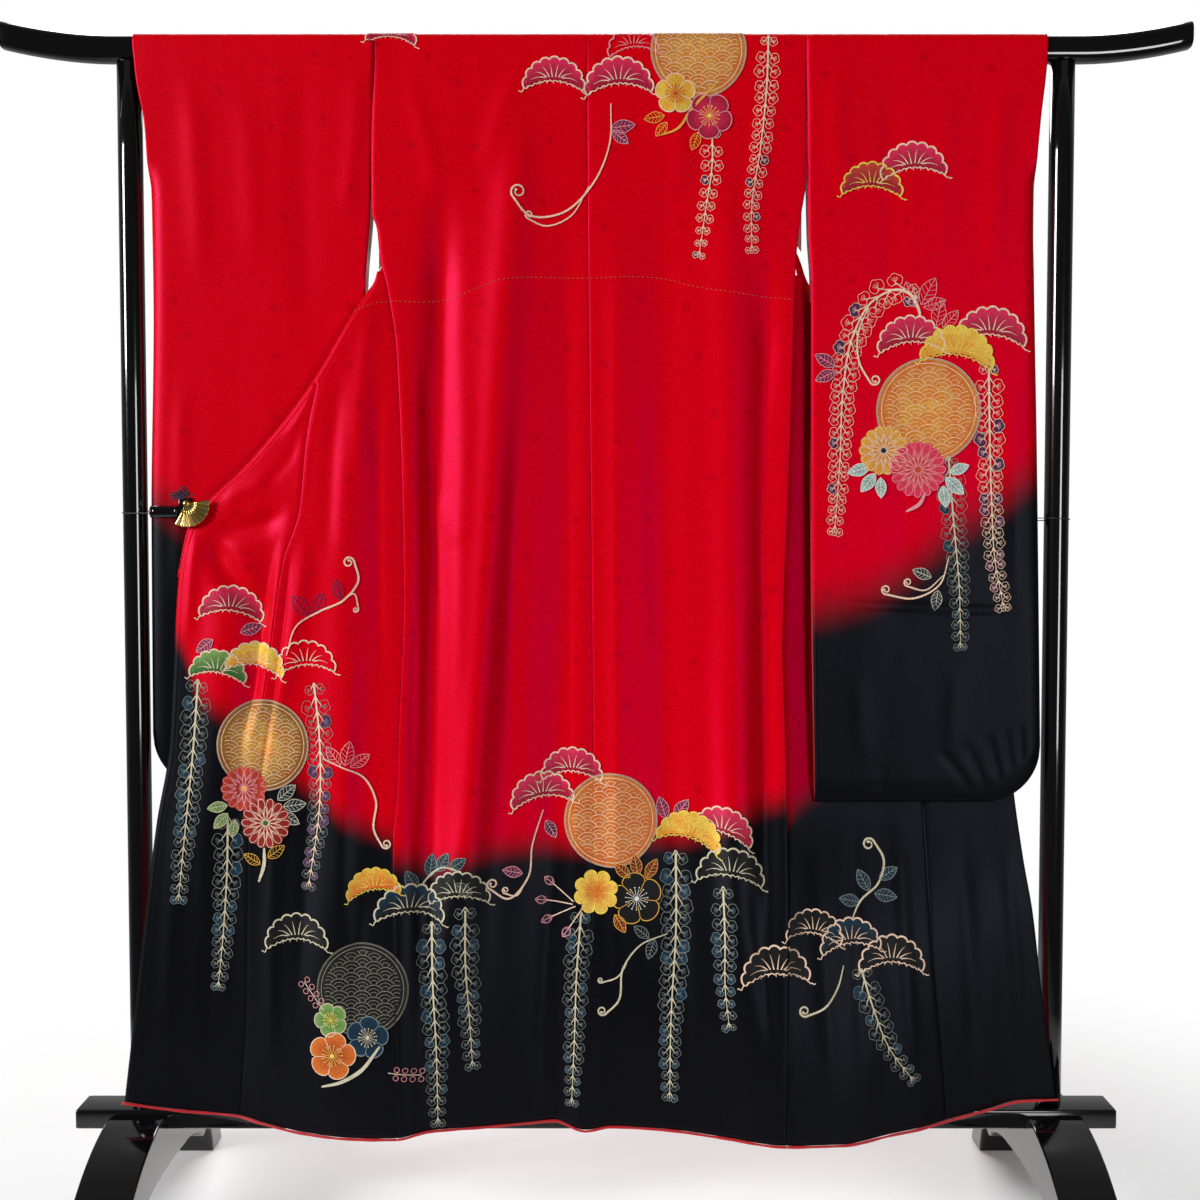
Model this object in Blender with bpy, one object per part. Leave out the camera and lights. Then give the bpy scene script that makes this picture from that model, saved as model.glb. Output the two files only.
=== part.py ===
# A furisode kimono spread over a lacquered kimono stand, seen from its back.
# The origin is on the floor under the stand's centre, +X to the viewer's right, -Y to the viewer, +Z up.
# Sizes are metres. Left and right are the viewer's.
import bpy
import bmesh
import math
import numpy as np
from mathutils import Matrix, Vector

SEAM_GAP = 0.0003
BODY_WALL = 0.0020
SLEEVE_WALL = 0.0015
COLLAR_THICK = 0.0040
HEM_ROLL = 0.0040

# Colours, as red, green and blue shares.
RED = (0.56, 0.004, 0.012)
BLACK_DYE = (0.012, 0.012, 0.018)
DARK_RED = (0.42, 0.003, 0.010)
LACQUER = (0.006, 0.005, 0.006)
GOLD = (0.60, 0.42, 0.12)
PURPLE = (0.035, 0.012, 0.050)

# Stand.
BAR_TOP = 1.7705
BAR_HIGH = 0.038
BAR_DEEP = 0.034
BAR_CORNER = 0.012
BAR_HALF = 0.875
BAR_STRAIGHT = 0.715
BAR_RISE = 0.021
POST_X = 0.688
POST_RADIUS = 0.018
BOARD_TOP = 0.175
BOARD_THICK = 0.029
BOARD_HALF = 0.782
BOARD_DEEP = 0.062
BOARD_EDGE = 0.002
FOOT_X = 0.687
FOOT_WIDE = 0.083
FOOT_CROWN = 0.165
FOOT_TIP = 0.300
FOOT_MIDDLE = 0.0850
# Half of a foot's side, a row for each place: y, top z.
FOOT_TOP = (
    (0.060, 0.1650), (0.100, 0.1560), (0.150, 0.1370), (0.194, 0.1120), (0.230, 0.0870),
    (0.260, 0.0600), (0.280, 0.0380), (0.294, 0.0140),
)
# Half of its underside: y, z, from the toe's pad inwards.
FOOT_UNDER = (
    (0.240, 0.0000), (0.234, 0.0260), (0.220, 0.0500), (0.196, 0.0540), (0.186, 0.0490),
    (0.160, 0.0640), (0.118, 0.0770), (0.060, 0.0830),
)

# Cloth over the bar: its gap, the wall's outer face, and the heights where its bend and its last row start.
BAR_GAP = 0.0005
OVER_HALF = BAR_DEEP / 2 + BAR_GAP + BODY_WALL
OVER_CORNER = BAR_CORNER + BAR_GAP + BODY_WALL
OVER_TOP = BAR_TOP + BAR_GAP + BODY_WALL
BEND_Z = OVER_TOP - OVER_CORNER
UNDER_BEND = BEND_Z - 0.004

# Neck: half width of the opening, and the slope of the front edges on the far side.
NECK_HALF = 0.108
NECK_DROP = 1.752
FRONT_SLOPE = 1.50
COLLAR_WIDE = 0.050
NECK_FAR_Y = 0.0215
# The direction of the cut where the neck's band meets each front's collar: across and down.
MITRE = (0.472, 0.882)

# Seam lines, a row for each height: z, x, y.
LEFT_SEAM = (
    (1.760, -0.3230, -0.0195), (1.580, -0.3280, -0.0240), (1.513, -0.3280, -0.0250),
    (1.487, -0.3200, -0.0260), (1.440, -0.3150, -0.0285), (1.396, -0.3050, -0.0320),
    (1.309, -0.2920, -0.0390), (1.089, -0.2830, -0.0500), (0.942, -0.2810, -0.0550),
    (0.766, -0.2880, -0.0600), (0.649, -0.2920, -0.0650), (0.590, -0.2970, -0.0690),
    (0.460, -0.2930, -0.0790), (0.289, -0.2890, -0.1000), (0.150, -0.2880, -0.1150),
)
CENTRE_SEAM = (
    (1.760, -0.0130, -0.0195), (1.528, -0.0120, -0.0240), (1.236, -0.0090, -0.0280),
    (0.942, -0.0060, -0.0320), (0.645, -0.0040, -0.0400), (0.496, -0.0060, -0.0480),
    (0.348, -0.0120, -0.0600), (0.150, -0.0160, -0.0750),
)
RIGHT_SEAM = (
    (1.760, 0.3070, -0.0195), (1.567, 0.3090, -0.0240), (1.500, 0.3000, -0.0260),
    (1.433, 0.2930, -0.0280), (1.382, 0.2915, -0.0300), (1.119, 0.2840, -0.0330),
    (0.868, 0.2760, -0.0370), (0.735, 0.2800, -0.0420), (0.617, 0.2820, -0.0500),
    (0.501, 0.2810, -0.0640), (0.358, 0.2780, -0.0860), (0.150, 0.2760, -0.1150),
)
LEFT_OKUMI = (
    (1.259, -0.4110, -0.0450), (1.182, -0.4260, -0.0500), (1.073, -0.4370, -0.0550),
    (0.998, -0.4610, -0.0580), (0.931, -0.4720, -0.0580), (0.805, -0.4900, -0.0580),
    (0.723, -0.5110, -0.0600), (0.576, -0.5150, -0.0620), (0.354, -0.5180, -0.0660),
    (0.150, -0.5320, -0.0700),
)
RIGHT_OKUMI = (
    (1.259, 0.4100, 0.0020), (1.080, 0.4300, 0.0020), (0.890, 0.4680, 0.0020),
    (0.720, 0.4880, -0.0030), (0.620, 0.4940, -0.0100), (0.428, 0.5000, -0.0380),
    (0.260, 0.5140, -0.0560), (0.150, 0.5240, -0.0660),
)
# The pulled fronts' outer edge: the collar's straight run, the corner at the clip, the front edge.
LEFT_EDGE = (
    (1.431, -0.3215, -0.0290), (1.403, -0.3290, -0.0330), (1.344, -0.3660, -0.0410),
    (1.259, -0.4170, -0.0445), (1.140, -0.5130, -0.0460), (1.089, -0.5670, -0.0470),
    (1.052, -0.5970, -0.0470), (0.976, -0.6150, -0.0470), (0.825, -0.6250, -0.0480),
    (0.719, -0.6320, -0.0500), (0.615, -0.6500, -0.0530), (0.467, -0.6680, -0.0560),
    (0.361, -0.6800, -0.0600), (0.150, -0.7060, -0.0660),
)
RIGHT_EDGE = (
    (1.431, 0.3040, -0.0080), (1.403, 0.3190, 0.0010), (1.344, 0.3600, 0.0015),
    (1.259, 0.4150, 0.0020), (1.140, 0.5100, 0.0020), (1.089, 0.5620, 0.0020),
    (1.052, 0.5920, 0.0020), (0.976, 0.6080, 0.0020), (0.825, 0.6180, 0.0010),
    (0.657, 0.6310, -0.0080), (0.555, 0.6420, -0.0220), (0.476, 0.6540, -0.0320),
    (0.367, 0.6660, -0.0380), (0.150, 0.6950, -0.0460),
)
LEFT_LINES = (LEFT_EDGE, LEFT_OKUMI, LEFT_SEAM, CENTRE_SEAM)
RIGHT_LINES = (RIGHT_SEAM, RIGHT_OKUMI, RIGHT_EDGE)

# The hem as it hangs, a row for each place along it: x, y, z.
HEM = (
    (-0.706, -0.066, 0.202), (-0.607, -0.066, 0.189), (-0.532, -0.070, 0.184),
    (-0.493, -0.080, 0.177), (-0.432, -0.095, 0.168), (-0.361, -0.110, 0.165),
    (-0.288, -0.115, 0.166), (-0.242, -0.100, 0.172), (-0.170, -0.085, 0.172),
    (-0.097, -0.070, 0.173), (-0.061, -0.064, 0.174), (-0.016, -0.074, 0.162),
    (0.021, -0.070, 0.167), (0.094, -0.080, 0.167), (0.181, -0.095, 0.161),
    (0.276, -0.115, 0.155), (0.357, -0.110, 0.155), (0.435, -0.090, 0.163),
    (0.475, -0.080, 0.167), (0.526, -0.066, 0.176), (0.585, -0.055, 0.187),
    (0.633, -0.048, 0.197), (0.695, -0.046, 0.199),
)
HEM_REACH = 0.70
# The height at which the seams' places along the hem are read.
HEM_LEVEL = 0.16
# Each fold starts softly below its top, and fades towards the seams over this share of the panel.
FOLD_START = 0.15
FOLD_LOW = 0.16
SEAM_FADE = 0.12
# The height below the bar over which the back takes its own depth, and the far side's slant: out, down.
HANG = 0.05
FAR_SLANT = (0.002, 0.33)
# The panels share their rows, so seams meet row by row: rows to the bar, the armpit and the okumi's point.
BODY_ROWS = 24
FRONT_ROWS = 19
OKUMI_ROWS = 16

# Long folds, a row each: x at the top, x at the hem, top z, half width, outward at the top and the hem.
FOLDS = (
    (-0.130, -0.240, 1.66, 0.032, 0.0050, 0.0120),
    (0.030, 0.030, 1.50, 0.024, 0.0030, 0.0070),
    (0.150, 0.190, 1.60, 0.034, 0.0045, 0.0120),
    (-0.235, -0.262, 1.30, 0.026, -0.0040, -0.0090),
    (-0.060, -0.075, 1.55, 0.030, -0.0030, -0.0080),
    (0.090, 0.110, 1.50, 0.030, -0.0030, -0.0080),
    (0.235, 0.245, 1.40, 0.024, -0.0030, -0.0060),
    (-0.355, -0.400, 1.30, 0.035, 0.0060, 0.0120),
    (-0.545, -0.590, 1.04, 0.030, 0.0070, 0.0040),
    (-0.480, -0.560, 1.10, 0.024, -0.0050, -0.0040),
    (0.380, 0.420, 0.62, 0.032, 0.0010, 0.0090),
    (0.570, 0.590, 0.60, 0.030, 0.0010, 0.0060),
)

# Sleeves, a row for each height: z, inner edge x, outer edge x, near face y, far face y.
LEFT_SLEEVE = (
    (BEND_Z, -0.3235, -0.6780, -0.0195, 0.0195), (1.700, -0.3242, -0.6720, -0.0205, 0.0205),
    (1.640, -0.3265, -0.6620, -0.0185, 0.0195), (1.580, -0.3290, -0.6590, -0.0170, 0.0185),
    (1.515, -0.3315, -0.6575, -0.0155, 0.0170), (1.400, -0.3400, -0.6570, -0.0125, 0.0140),
    (1.060, -0.3430, -0.6645, -0.0090, 0.0110), (0.640, -0.3440, -0.6670, -0.0070, 0.0090),
)
RIGHT_SLEEVE = (
    (BEND_Z, 0.3075, 0.6610, -0.0195, 0.0195), (1.730, 0.3080, 0.6600, -0.0197, 0.0193),
    (1.640, 0.3100, 0.6510, -0.0205, 0.0125), (1.567, 0.3105, 0.6460, -0.0211, 0.0070),
    (1.480, 0.3120, 0.6450, -0.0218, 0.0010), (1.410, 0.3160, 0.6463, -0.0224, -0.0035),
    (1.162, 0.3175, 0.6530, -0.0245, -0.0062), (0.620, 0.3265, 0.6640, -0.0300, -0.0162),
)
LEFT_SLEEVE_HEM = 0.655
RIGHT_SLEEVE_HEM = 0.640
SLEEVE_CORNER = 0.085
WRIST_OPEN = 0.230
# The bag closes towards its hem over this height. The lining's bottom lies this many walls above the hem's,
# and the lining's faces stay at least this far from their middle.
BAG_CLOSE = 0.035
BAG_FLOOR = 5
BAG_LEAST = 0.0006

# Collar along each front's edge, a row for each place: x, y of its far face, z, width.
LEFT_COLLAR = (
    (-0.1083, 0.0255, 1.7515, 0.0570), (-0.1560, 0.0255, 1.6800, 0.0500),
    (-0.2360, 0.0255, 1.5600, 0.0440), (-0.2900, 0.0235, 1.4790, 0.0260),
    (-0.3120, 0.0150, 1.4460, 0.0120), (-0.3225, -0.0040, 1.4250, 0.0100),
    (-0.3265, -0.0210, 1.4080, 0.0120), (-0.3380, -0.0265, 1.3900, 0.0180),
    (-0.3660, -0.0320, 1.3440, 0.0300), (-0.4170, -0.0350, 1.2590, 0.0400),
    (-0.5130, -0.0385, 1.1400, 0.0440), (-0.5670, -0.0400, 1.0890, 0.0440),
    (-0.5975, -0.0400, 1.0520, 0.0440), (-0.6155, -0.0400, 0.9760, 0.0400),
)
RIGHT_COLLAR = (
    (0.1083, 0.0255, 1.7515, 0.0570), (0.1560, 0.0255, 1.6800, 0.0500),
    (0.2300, 0.0255, 1.5690, 0.0440), (0.2760, 0.0235, 1.5000, 0.0260),
    (0.2960, 0.0180, 1.4660, 0.0120), (0.3050, 0.0120, 1.4430, 0.0100),
    (0.3120, 0.0085, 1.4200, 0.0120), (0.3260, 0.0080, 1.3950, 0.0200),
    (0.3600, 0.0085, 1.3440, 0.0320), (0.4150, 0.0090, 1.2590, 0.0420),
    (0.5100, 0.0090, 1.1400, 0.0450), (0.5620, 0.0090, 1.0890, 0.0450),
    (0.5925, 0.0090, 1.0520, 0.0450), (0.6085, 0.0090, 0.9760, 0.0400),
)
COLLAR_SHOWS = 0.004
COLLAR_TURN_ROOM = 0.0065
# Where the collar turns under, from the neck outwards, and over how far.
COLLAR_TURN = (0.245, 0.045)

# Clip at the left front's corner, its rod tied to the post.
ROD_RADIUS = 0.0095
ROD_Z = 1.0716
LEFT_ROD = (-0.6560, -0.6120)
LEFT_ROD_Y = -0.0362
JAW_SIZE = (0.0200, 0.0180, 0.0300)
JAW_AT = (-0.6015, -0.0365, 1.0770)
JAW_EDGE = 0.0015
RIGHT_ROD = (0.6125, 0.6500)
RIGHT_ROD_Y = 0.0065
RIGHT_ROD_Z = 1.0610
PIN_AT = (-0.5975, 1.0835)
PIN_RADIUS = 0.0050
PIN_Y = (-0.0555, -0.0458)
FAN_RADIUS = 0.0340
FAN_FROM = 10.0
FAN_TO = -122.0
FAN_RIBS = 9
FAN_THICK = 0.0016
FAN_PLEAT = 0.0008
FAN_Y = -0.0520
# The radius where the pleats start and the one of the band, and the run over which they rise.
FAN_PLEAT_FROM = 0.006
FAN_BAND = 0.012
KNOT_SIZE = (0.0105, 0.0045, 0.0062)
KNOT_AT = (-0.6070, -0.0390, JAW_AT[2] + JAW_SIZE[2] / 2 + SEAM_GAP + KNOT_SIZE[2])
THREAD_RADIUS = 0.0008
# How far the wrap climbs to each side of its middle.
THREAD_CLIMB = 0.002


def finish(name, mesh_data, colour, rough, metal=0.0, smooth=True):
    # One object with its own material.
    obj = bpy.data.objects.new(name, mesh_data)
    bpy.context.collection.objects.link(obj)
    material = bpy.data.materials.new(name)
    material.use_nodes = True
    shader = material.node_tree.nodes["Principled BSDF"]
    shader.inputs["Base Color"].default_value = (*colour, 1.0)
    shader.inputs["Roughness"].default_value = rough
    shader.inputs["Metallic"].default_value = metal
    mesh_data.materials.append(material)
    if smooth:
        mesh_data.shade_smooth()
        mesh_data.set_sharp_from_angle(angle=math.radians(40))
    return obj


def solid(name, points, faces, colour, rough, metal=0.0, smooth=True):
    # A closed mesh from points and faces. Its faces are turned outwards together if they point in.
    mesh_data = bpy.data.meshes.new(name)
    mesh_data.from_pydata([tuple(p) for p in points], [], faces)
    form = bmesh.new()
    form.from_mesh(mesh_data)
    if form.calc_volume(signed=True) < 0:
        bmesh.ops.reverse_faces(form, faces=form.faces)
    form.to_mesh(mesh_data)
    form.free()
    return finish(name, mesh_data, colour, rough, metal, smooth)


def line(rows, at, column):
    # A smooth curve through a table's rows: cubic pieces whose slopes are limited, so it never overshoots.
    table = np.array(rows, dtype=float)
    table = table[np.argsort(table[:, 0])]
    keys = table[:, 0]
    values = table[:, column]
    steps = np.diff(values) / np.diff(keys)
    slopes = np.zeros(len(keys))
    slopes[0] = steps[0]
    slopes[-1] = steps[-1]
    same = steps[:-1] * steps[1:] > 0
    slopes[1:-1] = np.where(same, 2 * steps[:-1] * steps[1:] / np.where(same, steps[:-1] + steps[1:], 1), 0)
    at = np.clip(np.asarray(at, dtype=float), keys[0], keys[-1])
    cell = np.clip(np.searchsorted(keys, at) - 1, 0, len(keys) - 2)
    wide = keys[cell + 1] - keys[cell]
    t = (at - keys[cell]) / wide
    start = (2 * t**3 - 3 * t**2 + 1) * values[cell] + (t**3 - 2 * t**2 + t) * wide * slopes[cell]
    end = (3 * t**2 - 2 * t**3) * values[cell + 1] + (t**3 - t**2) * wide * slopes[cell + 1]
    return start + end


def follow(tables, z, column):
    # The first table's line, or the next one's from its own highest row down.
    value = line(tables[0], z, column)
    for table in tables[1:]:
        value = np.where(z <= table[0][0], line(table, z, column), value)
    return value


def hem_y(x):
    return line(HEM, x, 1)


def hem_z(x):
    return line(HEM, x, 2)


def folds(x, z):
    # How far the long folds carry the cloth out at a place; each fold fades in below its own top.
    out = np.zeros(np.broadcast(x, z).shape)
    for top_x, low_x, top_z, half, top_out, low_out in FOLDS:
        down = np.clip((top_z - z) / (top_z - FOLD_LOW), 0, 1)
        middle = top_x + (low_x - top_x) * down
        amount = (top_out + (low_out - top_out) * down) * np.clip((top_z - z) / FOLD_START, 0, 1)
        out += amount * np.exp(-(((x - middle) / half) ** 2))
    return out


def panel_face(low, high, across, z, ease=1.0):
    # A panel between two seam lines: x and y run from one line to the other, and the folds lift the middle.
    # Towards the hem the depth becomes the hem's own wave.
    x = follow(low, z, 1) * (1 - across) + follow(high, z, 1) * across
    turn = across**ease
    y = follow(low, z, 2) * (1 - turn) + follow(high, z, 2) * turn
    inside = np.clip(np.minimum(across, 1 - across) / SEAM_FADE, 0, 1)
    y = y - folds(x, z) * inside
    near = np.clip((HEM_REACH - z) / (HEM_REACH - hem_z(x)), 0, 1)
    near = near * near * (3 - 2 * near)
    return x, y * (1 - near) + hem_y(x) * near


def quads(columns, rows, offset=0, turned=False):
    faces = []
    for i in range(columns - 1):
        for j in range(rows - 1):
            a = offset + i * rows + j
            face = (a, a + 1, a + rows + 1, a + rows)
            faces.append(face[::-1] if turned else face)
    return faces


def wall(name, near, far, colour, rough):
    # A closed wall between two skins, each a grid of columns and rows of points.
    columns, rows = near.shape[:2]
    count = columns * rows
    faces = quads(columns, rows) + quads(columns, rows, count, turned=True)
    rim = [i * rows for i in range(columns)]
    rim += [(columns - 1) * rows + j for j in range(1, rows)]
    rim += [i * rows + rows - 1 for i in range(columns - 2, -1, -1)]
    rim += [j for j in range(rows - 2, 0, -1)]
    for k, a in enumerate(rim):
        b = rim[(k + 1) % len(rim)]
        faces.append((a, b, b + count, a + count))
    points = np.concatenate([near.reshape(-1, 3), far.reshape(-1, 3)])
    return solid(name, points, faces, colour, rough)


def over_bar(half, corner, top, flats=3):
    # The bend over the bar, from the near side to the far side: y and z of each point.
    bend = []
    for k in range(flats + 1):
        angle = math.radians(180 - 90 * k / flats)
        bend.append((-half + corner + corner * math.cos(angle), top - corner + corner * math.sin(angle)))
    return bend + [(-y, z) for y, z in reversed(bend)]


def far_edge(x):
    # Height of the front's edge on the far side, above the collar.
    drop = NECK_DROP - FRONT_SLOPE * np.maximum(np.abs(x) - NECK_HALF, 0)
    start, reach = COLLAR_TURN
    clear = COLLAR_TURN_ROOM * np.clip((np.abs(x) - start) / reach, 0, 1)
    return drop + SEAM_GAP + clear


def body(name, side, seam, columns=13, far_rows=7):
    # One body panel: back hem, up the near side, over the bar and down to the collar, in one piece.
    rows = BODY_ROWS + 1
    across = np.linspace(0, 1, columns)[:, None]
    along = np.linspace(0, 1, rows)[None, :]
    low, high = ((seam,), (CENTRE_SEAM,)) if side < 0 else ((CENTRE_SEAM,), (seam,))
    z = np.full((columns, rows), 1.0)
    for _ in range(3):
        x = follow(low, z, 1) * (1 - across) + follow(high, z, 1) * across
        z = hem_z(x[:, :1]) * (1 - along) + UNDER_BEND * along
    x, y = panel_face(low, high, across, z)
    hang = np.clip((BEND_Z - z) / HANG, 0, 1)
    y = -OVER_HALF * (1 - hang) + y * hang
    x[0] += SEAM_GAP / 2
    x[-1] -= SEAM_GAP / 2
    bend = over_bar(OVER_HALF, OVER_CORNER, OVER_TOP)
    top_x = x[:, -1:]
    bend_y = np.array([[b[0] for b in bend]]) + np.zeros((columns, 1))
    bend_z = np.array([[b[1] for b in bend]]) + np.zeros((columns, 1))
    limit = far_edge(top_x)
    steps = np.linspace(0, 1, far_rows + 1)[None, 1:]
    far_z = BEND_Z + (limit - BEND_Z) * steps
    far_y = OVER_HALF + FAR_SLANT[0] * (BEND_Z - far_z) / FAR_SLANT[1]
    all_x = np.concatenate([x, top_x + 0 * bend_y, top_x + 0 * far_y], axis=1)
    all_y = np.concatenate([y, bend_y, far_y], axis=1)
    all_z = np.concatenate([z, bend_z, far_z], axis=1)
    run_y = np.gradient(all_y, axis=1)
    run_z = np.gradient(all_z, axis=1)
    size = np.hypot(run_y, run_z)
    outer = np.stack([all_x, all_y, all_z], axis=2)
    inner = np.stack([all_x, all_y + BODY_WALL * run_z / size, all_z - BODY_WALL * run_y / size], axis=2)
    return wall(name, outer, inner, RED, 0.45)


def hanging_panel(name, low, high, seam, rows, columns, colour, low_in=0.0, high_in=0.0, ease=1.0):
    # A panel of the pulled-out fronts, from its narrow top down to the hem, on the body's own rows.
    across = np.linspace(0, 1, columns)[:, None]
    up = np.arange(rows, -1, -1)[None, :] / FRONT_ROWS
    seam_hem = hem_z(seam[-1][1])
    top = seam_hem + (UNDER_BEND - seam_hem) * FRONT_ROWS / BODY_ROWS
    z = np.full((columns, rows + 1), 0.5)
    for _ in range(5):
        x = follow(low, z, 1) * (1 - across) + follow(high, z, 1) * across
        z = top * up + hem_z(x[:, -1:]) * (1 - up)
    x, y = panel_face(low, high, across, z, ease)
    x = x + (1 - across) * low_in - across * high_in
    near = np.stack([x, y, z], axis=2)
    far = np.stack([x, y + BODY_WALL, z], axis=2)
    return wall(name, near, far, colour, 0.45)


def tube(name, path, radius, sides, colour, rough, metal=0.0):
    # A closed tube along a path of points, its section upright to the path.
    path = np.array(path, dtype=float)
    run = np.gradient(path, axis=0)
    run /= np.linalg.norm(run, axis=1)[:, None]
    up = np.array([0.0, 1.0, 0.0]) + 0 * run
    side = np.cross(run, up)
    side /= np.linalg.norm(side, axis=1)[:, None]
    up = np.cross(side, run)
    turn = np.arange(sides) * 2 * math.pi / sides
    ring = side[:, None] * np.cos(turn)[None, :, None] + up[:, None] * np.sin(turn)[None, :, None]
    points = (path[:, None] + radius * ring).reshape(-1, 3)
    faces = []
    for i in range(len(path) - 1):
        for j in range(sides):
            a = i * sides + j
            b = i * sides + (j + 1) % sides
            faces.append((a, b, b + sides, a + sides))
    faces.append(tuple(range(sides))[::-1])
    faces.append(tuple((len(path) - 1) * sides + j for j in range(sides)))
    return solid(name, points, faces, colour, rough, metal)


def hem_roll(name, stops, counts, colour):
    # The lining's thin roll under the hem, with a station at each column of the panels above it.
    runs = [np.linspace(a, b, n) for a, b, n in zip(stops, stops[1:], counts)]
    x = np.concatenate([runs[0]] + [run[1:] for run in runs[1:]])
    x[0] += SEAM_GAP
    x[-1] -= SEAM_GAP
    radius = HEM_ROLL / 2
    path = np.stack([x, hem_y(x) + BODY_WALL / 2, hem_z(x) - 2 * SEAM_GAP - radius], axis=1)
    return tube(name, path, radius, 6, colour, 0.5)


def sleeve(name, table, side, seam, hem, straight=7, arc=7, rows=20):
    # A sleeve as a flat bag over the bar. The inner edge is open, and the outer edge is open at the wrist.
    # The hem rises round the outer corner on an arc, with a column at each step of its angle.
    width = abs(float(line(table, hem, 2) - line(table, hem, 1)))
    flat = 1 - SLEEVE_CORNER / width
    angles = np.linspace(0, math.pi / 2, arc)[1:]
    across = np.concatenate([np.linspace(0, flat, straight), flat + (1 - flat) * np.sin(angles)])
    columns = len(across)
    levels = np.linspace(0, 1, rows)
    wrist = OVER_TOP - WRIST_OPEN
    bend = over_bar(OVER_HALF, OVER_CORNER, OVER_TOP)
    inner_bend = over_bar(OVER_HALF - SLEEVE_WALL, OVER_CORNER - SLEEVE_WALL, OVER_TOP - SLEEVE_WALL)
    skins = []
    for skin in (0, 1):
        take = skin * SLEEVE_WALL
        grid = []
        for outward in across:
            from_corner = max(outward * width - (width - SLEEVE_CORNER), 0.0)
            lift = SLEEVE_CORNER - math.sqrt(max(SLEEVE_CORNER**2 - from_corner**2, 0.0))
            base = hem + lift
            bottom = base + BAG_FLOOR * take
            down = bottom + (UNDER_BEND - bottom) * levels
            x_in = side * np.maximum(side * line(table, down, 1), side * line(seam, down, 1) + SEAM_GAP)
            x_out = line(table, down, 2) - side * take
            x = x_in + side * SEAM_GAP + (x_out - x_in - side * SEAM_GAP) * outward
            near = line(table, down, 3)
            far = line(table, down, 4)
            middle = (near + far) / 2
            half = (far - near) / 2
            close = np.clip((down - bottom) / BAG_CLOSE, 0, 1) ** 0.5
            half = np.maximum(half - take, BAG_LEAST) * close
            near_side = [(x[k], middle[k] - half[k], down[k]) for k in range(rows)]
            far_side = [(x[k], middle[k] + half[k], down[k]) for k in range(rows - 1, -1, -1)]
            over = [(x[-1], y, z) for y, z in (bend if skin == 0 else inner_bend)]
            grid.append(near_side + over + far_side[:-1])
        skins.append(np.array(grid))
    ring = skins[0].shape[1]
    count = columns * ring
    faces = []
    for skin, start in ((0, 0), (1, count)):
        for i in range(columns - 1):
            for j in range(ring):
                a = start + i * ring + j
                b = start + i * ring + (j + 1) % ring
                face = (a, b, b + ring, a + ring)
                outward = (skin == 0) == (side > 0)
                faces.append(face if not outward else face[::-1])
    for j in range(ring):
        a = j
        b = (j + 1) % ring
        face = (a, a + count, b + count, b)
        faces.append(face[::-1] if side > 0 else face)
    last = (columns - 1) * ring
    z_last = skins[0][-1, :rows, 2]
    sewn = int(np.searchsorted(z_last, wrist))
    for skin, start in ((0, last), (1, count + last)):
        for j in range(sewn):
            a = start + j
            b = start + j + 1
            c = start + (ring - j - 1) % ring
            d = start + (ring - j) % ring
            face = (a, b, c, d) if j else (a, b, c)
            outward = (skin == 0) == (side > 0)
            faces.append(face if not outward else face[::-1])
    for j in range(sewn, ring - sewn):
        a = last + j
        b = last + j + 1
        face = (a, b, b + count, a + count)
        faces.append(face[::-1] if side > 0 else face)
    a = last + sewn
    b = last + ring - sewn
    face = (a, a + count, b + count, b)
    faces.append(face[::-1] if side > 0 else face)
    points = np.concatenate([skins[0].reshape(-1, 3), skins[1].reshape(-1, 3)])
    return solid(name, points, faces, RED, 0.45)


def collar(name, table, side, steps=34):
    # The collar band along a front's edge, folded in half, its width turned below the edge.
    rows = np.array(table)
    place = np.concatenate([[0], np.cumsum(np.linalg.norm(np.diff(rows[:, :3], axis=0), axis=1))])
    keyed = [(place[k], *rows[k]) for k in range(len(rows))]
    at = np.linspace(0, place[-1], steps)
    path = np.stack([line(keyed, at, 1), line(keyed, at, 2), line(keyed, at, 3)], axis=1)
    width = line(keyed, at, 4)
    run = np.gradient(path, axis=0)
    run /= np.linalg.norm(run, axis=1)[:, None]
    flat = run * np.array([1.0, 0.0, 1.0])
    flat /= np.linalg.norm(flat, axis=1)[:, None]
    below = np.stack([flat[:, 2], 0 * at, -flat[:, 0]], axis=1)
    below *= np.where(below[:, 2:3] > 0, -1.0, 1.0)
    below[0] = (-side * MITRE[0], 0.0, -MITRE[1])
    normal = np.cross(run, below)
    normal *= np.where(normal[:, 1:2] > 0, -1.0, 1.0)
    normal /= np.linalg.norm(normal, axis=1)[:, None]
    normal[0] = (0.0, -1.0, 0.0)
    a = path
    b = path + below * width[:, None]
    c = b + normal * COLLAR_THICK
    d = a + normal * COLLAR_THICK
    return wall(name, np.stack([d, c]), np.stack([a, b]), RED, 0.45)


def neck_collar():
    # The band across the back of the neck, hanging on the far side, with mitred ends.
    count = 13
    top = NECK_DROP - SEAM_GAP
    reach = NECK_HALF - SEAM_GAP * 2
    low_reach = reach - MITRE[0] / MITRE[1] * COLLAR_WIDE
    along = np.linspace(-1, 1, count)[:, None]
    down = np.array([[0.0, 1.0]])
    x = along * (reach * (1 - down) + low_reach * down)
    z = top - COLLAR_WIDE * down + 0 * x
    y = NECK_FAR_Y + 0 * x
    near = np.stack([x, y, z], axis=2)
    far = np.stack([x, y + COLLAR_THICK, z], axis=2)
    return wall("collar_neck", near, far, RED, 0.45)


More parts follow.
